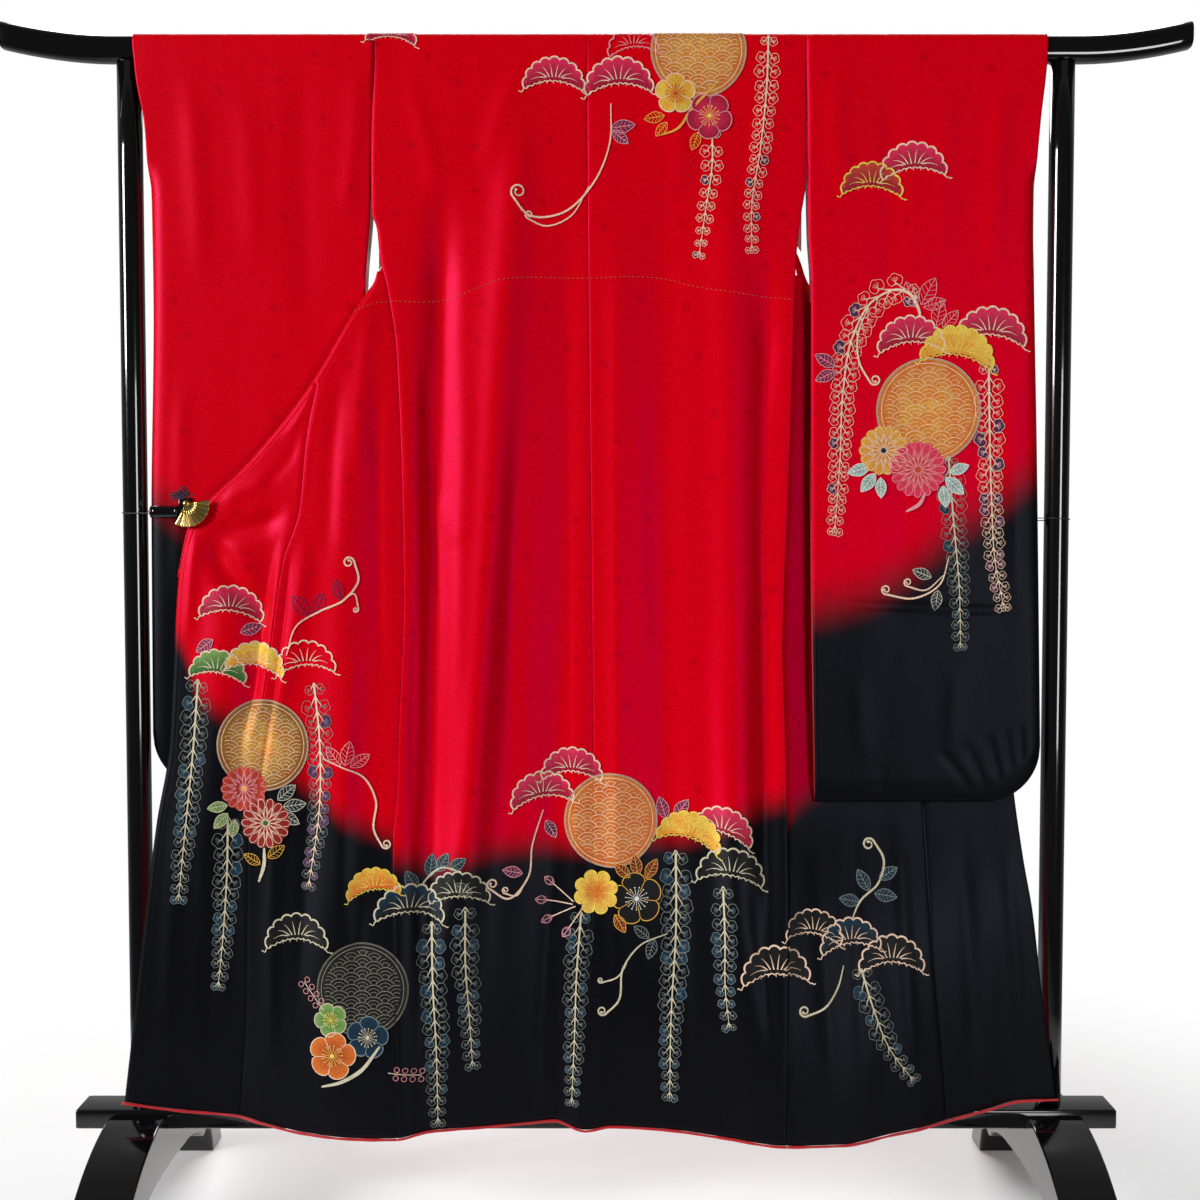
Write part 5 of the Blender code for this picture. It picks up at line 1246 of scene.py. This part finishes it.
def lowerLeftArt():
    art = newArt("art_lower_left", frontAt)
    wisteria(art, ((-0.240, 0.470), (-0.238, 0.400), (-0.232, 0.290), (-0.230, 0.180)), 0.044, "pale",
             "paleTeal", "teal", 0.35, seed=29)
    wisteria(art, ((-0.190, 0.492), (-0.190, 0.420), (-0.184, 0.330), (-0.180, 0.262)), 0.042, "pale",
             "paleTeal", "teal", 0.35, seed=31)
    tendril(art, ((-0.262, 0.512), (-0.250, 0.532), (-0.222, 0.552), (-0.196, 0.548)), 0.0024, "pale", 0)
    leaves(art, ((-0.262, 0.520, 0.032, 118), (-0.244, 0.536, 0.034, 84), (-0.232, 0.545, 0.032, 60),
                 (-0.214, 0.550, 0.030, 34), (-0.206, 0.530, 0.030, 330)), "ink", "teal", "paleTeal")
    pine(art, -0.200, 0.500, 0.090, 2, "ink", "ink", "pale")
    roundel(art, -0.338, 0.380, 0.067, "ink", "soot", "dim", 0.0)
    pine(art, -0.272, 0.476, 0.100, -2, "ink", "teal", "pale")
    pine(art, -0.322, 0.512, 0.078, 8, "orange", "lightGold", "lightGold", 0.75, lobes=8)
    pine(art, -0.436, 0.436, 0.094, 2, "ink", "ink", "pale")
    tendril(art, ((-0.312, 0.300), (-0.342, 0.262), (-0.370, 0.246), (-0.398, 0.238)), 0.0050, "pale", 0)
    for x, z, angle in ((-0.395, 0.350, 128), (-0.300, 0.262, 352)):
        spray = (x + 1j * z) + np.linspace(0, 0.048, 5) * np.exp(1j * math.radians(angle))
        ribbons(art, spray, 0.0014, "pale")
        buds = np.concatenate([spray[1:] + 0.006j * np.exp(1j * math.radians(angle)),
                               spray[1:] - 0.006j * np.exp(1j * math.radians(angle))])
        ring = 0.0038 * roundSpots(10)
        ribbons(art, buds[:, None] + ring, 0.0009, "rose", closed=True)
    plum(art, -0.330, 0.312, 0.030, "ink", "teal", "paleTeal", "pale", turn=0.2)
    plum(art, -0.384, 0.336, 0.024, "green", "lightGreen", "pale", "lightGold", turn=0.7)
    plum(art, -0.382, 0.284, 0.034, "rust", "orange", "cream", "lightGold", 0.35, turn=0.1)
    return art


def centreArt():
    art = newArt("art_centre", frontAt)
    wisteria(art, ((-0.022, 0.480), (-0.028, 0.400), (-0.032, 0.290), (-0.036, 0.200)), 0.040, "pale",
             "paleTeal", "teal", 0.3, seed=37)
    wisteria(art, ((0.118, 0.568), (0.118, 0.470), (0.110, 0.330), (0.108, 0.212)), 0.046, "pale",
             "paleTeal", "teal", 0.35, seed=41)
    wisteria(art, ((0.186, 0.520), (0.188, 0.450), (0.188, 0.380), (0.194, 0.322)), 0.040, "pale",
             "paleTeal", "teal", 0.35, seed=43)
    tendril(art, ((-0.078, 0.632), (-0.094, 0.580), (-0.100, 0.534), (-0.130, 0.504), (-0.156, 0.520)), 0.0026,
            "cream", 0.008, -1)
    tendril(art, ((-0.102, 0.532), (-0.118, 0.508), (-0.134, 0.512)), 0.0020, "cream", 0.005, -1)
    leaves(art, ((-0.108, 0.540, 0.030, 168), (-0.074, 0.616, 0.030, 300)), "ink", "purple", "rose")
    tendril(art, ((0.105, 0.452), (0.066, 0.436), (0.040, 0.402), (0.032, 0.352), (0.014, 0.334)), 0.0026,
            "pale", 0.007, -1)
    tendril(art, ((0.052, 0.424), (0.030, 0.388), (0.008, 0.380)), 0.0020, "pale", 0.004, -1)
    leaves(art, ((0.078, 0.446, 0.028, 142), (0.086, 0.444, 0.030, 252)), None, None, "paleTeal")
    pine(art, 0.182, 0.590, 0.092, -14, "deepPink", "pink", "cream")
    leaves(art, ((0.104, 0.618, 0.034, 108), (0.116, 0.620, 0.034, 52)), "deepPink", "purple", "rose")
    pine(art, -0.036, 0.676, 0.090, -2, "deepPink", "pink", "cream")
    pine(art, -0.078, 0.640, 0.092, 8, "deepPink", "pink", "cream")
    roundel(art, 0.022, 0.617, 0.069, "copper", "copper", "cream")
    pine(art, 0.134, 0.580, 0.094, -14, "gold", "lightGold", "lightGold", 0.75)
    pine(art, 0.196, 0.528, 0.098, -6, "ink", "ink", "pale")
    leaves(art, ((0.062, 0.536, 0.032, 100), (0.074, 0.532, 0.032, 60), (0.050, 0.534, 0.030, 138),
                 (0.028, 0.480, 0.030, 300)), "ink", "rust", "gold")
    plum(art, 0.060, 0.503, 0.037, "ink", "ink", "gold", "white", turn=0.5)
    for x, z, angle in ((-0.050, 0.512, 140), (-0.056, 0.497, 172), (-0.050, 0.482, 205), (-0.030, 0.474, 236)):
        stem = (x + 1j * z) + np.linspace(-0.022, 0.016, 5) * np.exp(1j * math.radians(angle))
        ribbons(art, stem, 0.0016, "cream")
        leaf(art, stem[-1].real, stem[-1].imag, 0.018, angle, "ink", "teal", "rose", veins=2, wide=0.36)
    plum(art, 0.000, 0.512, 0.032, "orange", "lightGold", "lightGold", "orange", 0.55, turn=1.1, petals=8)
    return art


def rightFrontArt():
    art = newArt("art_lower_right", frontAt)
    tendril(art, ((0.372, 0.462), (0.392, 0.500), (0.418, 0.522), (0.428, 0.556), (0.414, 0.582)), 0.0030,
            "pale", 0.009, 1)
    leaves(art, ((0.390, 0.496, 0.032, 168), (0.404, 0.512, 0.034, 118), (0.420, 0.528, 0.032, 30),
                 (0.412, 0.508, 0.034, 350)), "ink", "teal", "paleTeal")
    wisteria(art, ((0.388, 0.404), (0.404, 0.350), (0.428, 0.290), (0.466, 0.238)), 0.042, "pale",
             "paleTeal", "teal", 0.35, seed=47)
    tendril(art, ((0.362, 0.410), (0.352, 0.378), (0.330, 0.350), (0.306, 0.340)), 0.0028, "pale", 0.008, -1)
    pine(art, 0.318, 0.444, 0.084, -8, "ink", "ink", "cream")
    pine(art, 0.374, 0.428, 0.090, 4, "ink", "teal", "cream")
    pine(art, 0.434, 0.398, 0.098, -2, "ink", "ink", "cream")
    pine(art, 0.262, 0.388, 0.100, 3, "ink", "ink", "cream")
    return art


artPieces = [finishArt(make(), paintAndGold) for make in (
    backTopArt, rightSleeveArt, leftFrontArt, lowerLeftArt, centreArt, rightFrontArt)]
for piece in artPieces:
    made(piece, "cloth")
print("painted motifs made:", sum(len(piece.data.polygons) for piece in artPieces), "faces")


# Stitches that hold the tuck across the back: a dash every few millimetres.
stitches = {"long": 0.0038, "step": 0.0068, "radius": 0.00042,
            "line": ((-0.355, 1.364), (-0.324, 1.376), (-0.305, 1.379), (-0.252, 1.379), (-0.211, 1.386),
                     (-0.173, 1.399), (-0.151, 1.408), (-0.129, 1.412), (-0.013, 1.414), (0.107, 1.412),
                     (0.144, 1.402), (0.226, 1.389), (0.294, 1.382))}


def stitchPiece():
    path = curve(plan(stitches["line"]), 900)
    place = np.concatenate([[0], np.cumsum(np.abs(np.diff(path)))])
    starts = np.arange(0.002, place[-1] - stitches["step"], stitches["step"])
    share = np.linspace(0, 1, 5)
    at = starts[:, None] + stitches["long"] * share
    x = np.interp(at, place, path.real)
    z = np.interp(at, place, path.imag)
    y = frontAt(x, z) - stitches["radius"] * (0.2 + 1.2 * np.sin(math.pi * share))
    turn = np.arange(6) * math.pi / 3
    thin = stitches["radius"] * np.array([0.5, 0.9, 1.0, 0.9, 0.5])
    spots = np.stack([x[:, :, None] + 0 * turn, y[:, :, None] + thin[:, None] * np.cos(turn),
                      z[:, :, None] + thin[:, None] * np.sin(turn)], axis=3)
    one = gridFaces(5, 6, wrap=True)
    many = np.arange(len(starts)) * 30
    sides = (one[None] + many[:, None, None]).reshape(-1, 4)
    ends = np.concatenate([np.arange(6)[None] + many[:, None], 24 + np.arange(6)[None, ::-1] + many[:, None]])
    return fixOutward(makeMesh("tuck_stitches", spots, [sides, ends], [threadMaterial]))


tuckStitches = made(stitchPiece(), "cord")


# Lacquer: deep black under a clear coat, with the faintest waviness in its reflections.
def lacquerMaterial(name, rough=0.10):
    material, tree, shader = newMaterial(name)
    place = add(tree, "ShaderNodeTexCoord")
    wave = add(tree, "ShaderNodeTexNoise", {"Vector": place.outputs["Object"], "Scale": 14.0, "Detail": 1.0})
    bumpUp(tree, shader, wave.outputs["Fac"], 0.25, 0.0008)
    setShader(shader, {"Base Color": (0.0030, 0.0028, 0.0034, 1.0), "Roughness": rough, "Coat Weight": 0.6,
                       "Coat Roughness": 0.04})
    return material


lacquer = lacquerMaterial("blackLacquer")
sides = {"left": -1, "right": 1}


def squareSection(halfA, halfB, corner, steps=6):
    # A rectangle with round corners, as pairs going round.
    angle = np.linspace(0, math.pi / 2, steps)
    quarter = np.stack([np.cos(angle), np.sin(angle)], axis=1) * corner
    pairs = []
    for k, (a, b) in enumerate(((1, 1), (-1, 1), (-1, -1), (1, -1))):
        spin = k * math.pi / 2
        turned = quarter @ np.array([[math.cos(spin), math.sin(spin)], [-math.sin(spin), math.cos(spin)]])
        pairs.append(turned + np.array([a * (halfA - corner), b * (halfB - corner)]))
    return np.concatenate(pairs)


def barPiece(stations=90, lip=0.0012):
    # Straight between the posts, curving up to each end; the section shrinks by a hair at the ends' edges.
    t = np.linspace(-1, 1, stations)
    x = stand["barHalf"] * t
    edges = np.array([0.0, lip * 0.3, lip])
    x = np.concatenate([x[0] + edges, x[1:-1], x[-1] - edges[::-1]])
    bent = (np.abs(x) - stand["barStraight"]) / (stand["barHalf"] - stand["barStraight"])
    rise = stand["barRise"] * np.clip(bent, 0, 1) ** 1.8
    edge = np.clip((stand["barHalf"] - np.abs(x)) / lip, 0, 1)
    shrink = lip * (1 - np.sqrt(np.clip(1 - (1 - edge) ** 2, 0, 1)))
    section = squareSection(stand["barDeep"] / 2, stand["barHigh"] / 2, stand["barCorner"])
    scale = 1 - shrink[:, None, None] / np.array([stand["barDeep"] / 2, stand["barHigh"] / 2])[None, None, :]
    path = np.stack([x, 0 * x, stand["barTop"] - stand["barHigh"] / 2 + rise], axis=1)
    full = np.ones((len(x), 1))
    return fixOutward(sectionAlong("stand_top_bar", path, full * [[0.0, 1.0, 0.0]], full * [[0.0, 0.0, 1.0]],
                                   section[None] * scale, [lacquer]))


def postPiece(name, x, sidesRound=64):
    low, high = stand["boardTop"] + stand["seat"], stand["barTop"] - stand["barHigh"] - stand["seat"]
    z = np.linspace(low, high, 12)
    section = stand["postRadius"] * roundPairs(sidesRound)
    path = np.stack([x + 0 * z, 0 * z, z], axis=1)
    full = np.ones((len(z), 1))
    return fixOutward(sectionAlong(name, path, full * [[1.0, 0.0, 0.0]], full * [[0.0, 1.0, 0.0]], section,
                                   [lacquer]))


footTop = ((0.060, 0.1650), (0.100, 0.1560), (0.150, 0.1370), (0.194, 0.1120), (0.230, 0.0870), (0.260, 0.0600),
           (0.280, 0.0380), (0.294, 0.0140))
footUnder = ((0.240, 0.0000), (0.234, 0.0260), (0.220, 0.0500), (0.196, 0.0540), (0.186, 0.0490),
             (0.160, 0.0640), (0.118, 0.0770), (0.060, 0.0830))


def bevelled(obj, width, segments=3, angle=35):
    edge = obj.modifiers.new("edge", "BEVEL")
    edge.width = width
    edge.segments = segments
    edge.limit_method = "ANGLE"
    edge.angle_limit = math.radians(angle)
    return obj


def footPiece(name, x):
    # An arched block from front to back, notched for the board, its top smooth and its underside scooped.
    notch = stand["boardDeep"] / 2 + stand["seat"]
    top = curve(plan(((notch, stand["footCrown"] + 0.0012),) + footTop + ((stand["footTip"], 0.0),)), 40)
    under = curve(plan(footUnder + ((0.0, stand["footMiddle"]),)), 40)
    floor = stand["boardTop"] - stand["boardThick"] - stand["seat"]
    half = np.concatenate([[notch + 1j * floor], top, under[:-1]])
    half = half.real.clip(0, stand["footTip"]) + 1j * half.imag.clip(0, 1)
    outline = np.concatenate([half, [1j * stand["footMiddle"]], -np.conj(half[::-1])])
    outline = np.where(np.abs(outline.imag) < 1e-6, outline.real + 0j, outline)
    count = len(outline)
    wide = stand["footWide"] / 2
    faceX = [np.full(count, x + side * wide) for side in (-1, 1)]
    points = np.concatenate([np.stack([at, outline.real, outline.imag], axis=1) for at in faceX])
    k = np.arange(count)
    n = (k + 1) % count
    faces = [k[None, :], (count + k)[None, ::-1], np.stack([n, k, k + count, n + count], axis=1)]
    obj = fixOutward(makeMesh(name, points, faces, [lacquer]))
    obj.data.set_sharp_from_angle(angle=math.radians(40))
    return bevelled(obj, 0.0025, angle=60)


def boxPiece(name, centre, size, material, bevel=0.002):
    signs = np.array([(a, b, d) for a in (-1, 1) for b in (-1, 1) for d in (-1, 1)])
    points = np.asarray(centre) + signs * np.asarray(size) / 2
    faces = [np.array([(0, 1, 3, 2), (4, 6, 7, 5), (0, 4, 5, 1), (2, 3, 7, 6), (0, 2, 6, 4), (1, 5, 7, 3)])]
    return bevelled(fixOutward(makeMesh(name, points, faces, [material])), bevel)


topBar = made(barPiece(), "lacquer", "stand_bar")
boardAt = (0.0, 0.0, stand["boardTop"] - stand["boardThick"] / 2)
boardSize = (2 * stand["boardHalf"], stand["boardDeep"], stand["boardThick"])
made(boxPiece("stand_cross_board", boardAt, boardSize, lacquer, 0.003), "lacquer", "stand_board")
for word, side in sides.items():
    made(postPiece("stand_post_round_" + word, side * stand["postX"]), "lacquer", "stand_post_" + word)
    made(footPiece("stand_foot_arch_" + word, side * stand["footX"]), "lacquer", "stand_foot_" + word)
print("stand made")


# The clip at the left front's corner: a gold folding fan on its pin, the cord's bow above it, and the rods.
clip = {"pin": (-0.5975, 1.0835), "radius": 0.0340, "from": 10.0, "to": -122.0, "ribs": 9, "fanY": -0.0520,
        "pleat": 0.0022, "thick": 0.0012, "rodRadius": 0.0095, "leftRod": (-0.6560, -0.6120, -0.0362, 1.0716),
        "rightRod": (0.6125, 0.6500, 0.0065, 1.0610), "bowAt": (-0.6040, -0.0440, 1.0915), "cord": 0.00085,
        "jawAt": (-0.6015, -0.0365, 1.0770),
        "jawSize": (0.0200, 0.0180, 0.0300)}


def goldMaterial():
    material, tree, shader = newMaterial("brushedGold")
    place = add(tree, "ShaderNodeTexCoord")
    grain = add(tree, "ShaderNodeTexNoise", {"Vector": place.outputs["Object"], "Scale": 900.0, "Detail": 2.0})
    bumpUp(tree, shader, grain.outputs["Fac"], 0.25, 0.0002)
    setShader(shader, {"Base Color": (0.70, 0.50, 0.17, 1.0), "Metallic": 1.0, "Roughness": 0.28})
    return material


gold = goldMaterial()
purpleCord = plainSilk("purpleCord", (0.030, 0.008, 0.036), 0.75)


def fanPiece():
    # A pleated sector: the pleats rise towards the rim, and a raised band crosses them near the pin.
    share = np.linspace(0, 1, clip["ribs"] * 12 + 1)[:, None]
    angle = np.radians(clip["from"] + (clip["to"] - clip["from"]) * share)
    radius = np.linspace(0.0058, clip["radius"], 26)[None, :]
    wave = np.abs(np.sin(math.pi * clip["ribs"] * share)) ** 0.8
    scallop = 1 + 0.022 * (wave - 0.5) * smooth((radius - 0.026) / 0.008)
    lift = clip["pleat"] * wave * smooth((radius - 0.010) / 0.008)
    band = 0.0009 * np.exp(-(((radius - 0.0150) / 0.0011) ** 2))
    x = clip["pin"][0] + radius * scallop * np.cos(angle)
    z = clip["pin"][1] + radius * scallop * np.sin(angle)
    y = clip["fanY"] - clip["thick"] - lift - band + 0 * x
    points = np.stack([x, y, z], axis=2)
    obj = makeMesh("clip_fan_gold", points, [gridFaces(*points.shape[:2])], [gold])
    return thicken(obj, clip["thick"], lined=False)


def lathe(name, centre, profile, material, sidesRound=40):
    # A turned form about the line through centre along Y: profile rows are radius, y.
    profile = np.asarray(profile, dtype=float)
    pairs = roundPairs(sidesRound)
    x = centre[0] + profile[:, :1] * pairs[:, 0]
    z = centre[1] + profile[:, :1] * pairs[:, 1]
    y = profile[:, 1:] + 0 * x
    points = np.stack([x, y, z], axis=2)
    faces = [gridFaces(len(profile), sidesRound, wrap=True)] + endFaces(len(profile), sidesRound)
    return fixOutward(makeMesh(name, points, faces, [material]))


def rodPiece(name, low, high, y, z):
    # A turned rod with rounded ends and a shallow groove near each.
    radius = clip["rodRadius"]
    t = np.linspace(0, 1, 60)
    x = low + (high - low) * t
    inset = np.minimum(x - low, high - x)
    size = radius * np.sqrt(np.clip(1 - (1 - np.clip(inset / 0.003, 0, 1)) ** 2, 0.04, 1))
    size = size - 0.0006 * np.exp(-(((inset - 0.006) / 0.0008) ** 2))
    section = size[:, None, None] * roundPairs(40)[None]
    path = np.stack([x, y + 0 * x, z + 0 * x], axis=1)
    full = np.ones((len(x), 1))
    return fixOutward(sectionAlong(name, path, full * [[0.0, 1.0, 0.0]], full * [[0.0, 0.0, 1.0]], section,
                                   [lacquer]))


def tubes(name, paths, radius, material, sidesRound=8):
    # Round cords along smooth paths, joined in one mesh.
    allPoints, allFaces, start = [], [], 0
    for path in paths:
        path = np.asarray(path, dtype=float)
        run = unit(np.gradient(path, axis=0))
        side = unit(np.cross(run, np.array([0.05, 1.0, 0.1])))
        up = np.cross(side, run)
        pairs = roundPairs(sidesRound)[None]
        points = path[:, None] + radius * (side[:, None] * pairs[:, :, :1] + up[:, None] * pairs[:, :, 1:])
        count = len(path)
        faces = [gridFaces(count, sidesRound, wrap=True)] + endFaces(count, sidesRound)
        allPoints.append(points.reshape(-1, 3))
        allFaces += [part + start for part in faces]
        start += count * sidesRound
    return fixOutward(makeMesh(name, np.concatenate(allPoints), allFaces, [material]))


def bowPiece():
    # A burst of loops over the pin, with three frayed ends beside them.
    centre = np.array(clip["bowAt"])
    paths = []
    for k in range(11):
        angle = 22 + 14.5 * k
        long = 0.0150 + 0.0030 * math.sin(5.1 * k)
        wide = 0.0021 + 0.0007 * math.cos(3.7 * k)
        u = np.linspace(0, 2 * math.pi, 30)
        loop = ((0.5 - 0.5 * np.cos(u)) * long + 1j * wide * np.sin(u)) * np.exp(1j * math.radians(angle))
        depth = -0.0012 * (k % 3) - 0.0020 * np.sin(u / 2)
        paths.append(centre + np.stack([loop.real, depth, loop.imag], axis=1))
    for angle, long, bend in ((170, 0.019, 0.4), (186, 0.016, -0.3), (158, 0.021, 0.2)):
        t = np.linspace(0, 1, 30)
        end = long * t * np.exp(1j * (math.radians(angle) + bend * t))
        paths.append(centre + np.stack([end.real, -0.0010 - 0.002 * t, end.imag], axis=1))
    return tubes("clip_bow", paths, clip["cord"], purpleCord)


made(fanPiece(), "gilt", "clip_fan")
pinProfile = ((0.0012, -0.0568), (0.0030, -0.0565), (0.0044, -0.0556), (0.0050, -0.0545), (0.0050, -0.0460))
made(lathe("clip_pin_gold", clip["pin"], pinProfile, gold), "gilt", "clip_pin")
made(bowPiece(), "cord", "clip_knot")
made(rodPiece("clip_rod_turned_left", *clip["leftRod"]), "clip", "clip_rod_left")
made(rodPiece("clip_rod_turned_right", *clip["rightRod"]), "clip", "clip_rod_right")
made(boxPiece("clip_jaw_block", clip["jawAt"], clip["jawSize"], lacquer, 0.0015), "clip", "clip_jaw")
darkCord = plainSilk("darkCord", (0.012, 0.010, 0.010), 0.6)
for node in ("thread_left", "thread_right"):
    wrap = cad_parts[node]
    wrap.data.materials.clear()
    wrap.data.materials.append(darkCord)
print("clip made")
# Studio: a white world behind, darker on the camera's side, a pale floor and soft lights.
def studio():
    # The camera sees plain white; the things in the studio see a dim room, lighter behind.
    world = bpy.data.worlds.new("studio")
    bpy.context.scene.world = world
    world.use_nodes = True
    tree = world.node_tree
    tree.nodes.clear()
    place = add(tree, "ShaderNodeTexCoord")
    parts = add(tree, "ShaderNodeSeparateXYZ", {0: place.outputs["Generated"]})
    behind = add(tree, "ShaderNodeMapRange", {"Value": parts.outputs["Y"], "From Min": -0.30, "From Max": 0.60,
                                              "To Min": 0.05, "To Max": 0.24})
    room = add(tree, "ShaderNodeBackground", {"Color": (1.0, 1.0, 1.0, 1.0), "Strength": behind.outputs[0]})
    white = add(tree, "ShaderNodeBackground", {"Color": (1.0, 1.0, 1.0, 1.0), "Strength": 1.0})
    path = add(tree, "ShaderNodeLightPath")
    both = add(tree, "ShaderNodeMixShader", {0: path.outputs["Is Camera Ray"], 1: room.outputs[0],
                                             2: white.outputs[0]})
    out = add(tree, "ShaderNodeOutputWorld")
    tree.links.new(both.outputs[0], out.inputs["Surface"])


def softLight(name, place, aim, size, power, tint=(1.0, 1.0, 1.0)):
    data = bpy.data.lights.new(name, "AREA")
    data.shape = "RECTANGLE"
    data.size, data.size_y = size
    data.energy = power
    data.color = tint
    obj = bpy.data.objects.new(name, data)
    bpy.context.collection.objects.link(obj)
    obj.location = place
    obj.rotation_euler = (Vector(aim) - Vector(place)).to_track_quat("-Z", "Y").to_euler()
    return obj


studio()
lights = {"key": ((-8.4, -5.2, 3.8), (0.0, 0.0, 0.80), (2.4, 3.2), 1010.0),
          "fill": ((2.6, -4.8, 0.9), (0.3, 0.0, 0.9), (1.3, 1.8), 76.0),
          "floorLight": ((0.0, 2.4, 3.4), (0.0, 0.6, 0.0), (3.4, 1.6), 120.0)}
for name, row in lights.items():
    softLight(name, *row)


def floorPiece(reach=4.0):
    # A pale floor that thins out to nothing well away from the stand.
    material, tree, shader = newMaterial("paleFloor")
    place = add(tree, "ShaderNodeTexCoord")
    away = add(tree, "ShaderNodeVectorMath", {0: place.outputs["Object"]}, operation="LENGTH")
    solid = add(tree, "ShaderNodeMapRange", {"Value": away.outputs["Value"], "From Min": 0.55, "From Max": 1.7,
                                             "To Min": 1.0, "To Max": 0.0}, interpolation_type="SMOOTHSTEP")
    tree.links.new(solid.outputs[0], shader.inputs["Alpha"])
    setShader(shader, {"Base Color": (0.93, 0.93, 0.93, 1.0), "Roughness": 0.55})
    corners = ((-reach, -reach, 0), (reach, -reach, 0), (reach, reach, 0), (-reach, reach, 0))
    return makeMesh("floor", corners, [np.array([(0, 1, 2, 3)])], [material], isSmooth=False)


floorPiece()

cameraData = bpy.data.cameras.new("camera")
camera = bpy.data.objects.new("camera", cameraData)
bpy.context.collection.objects.link(camera)
camera.location = (0.006, -2.278, 1.045)
camera.rotation_euler = (math.radians(90 - 2.633), 0.0, 0.0)
cameraData.lens = 45.66
cameraData.sensor_width = 36.0
bpy.context.scene.camera = camera
bpy.context.scene.view_settings.view_transform = "Standard"
print("studio made")
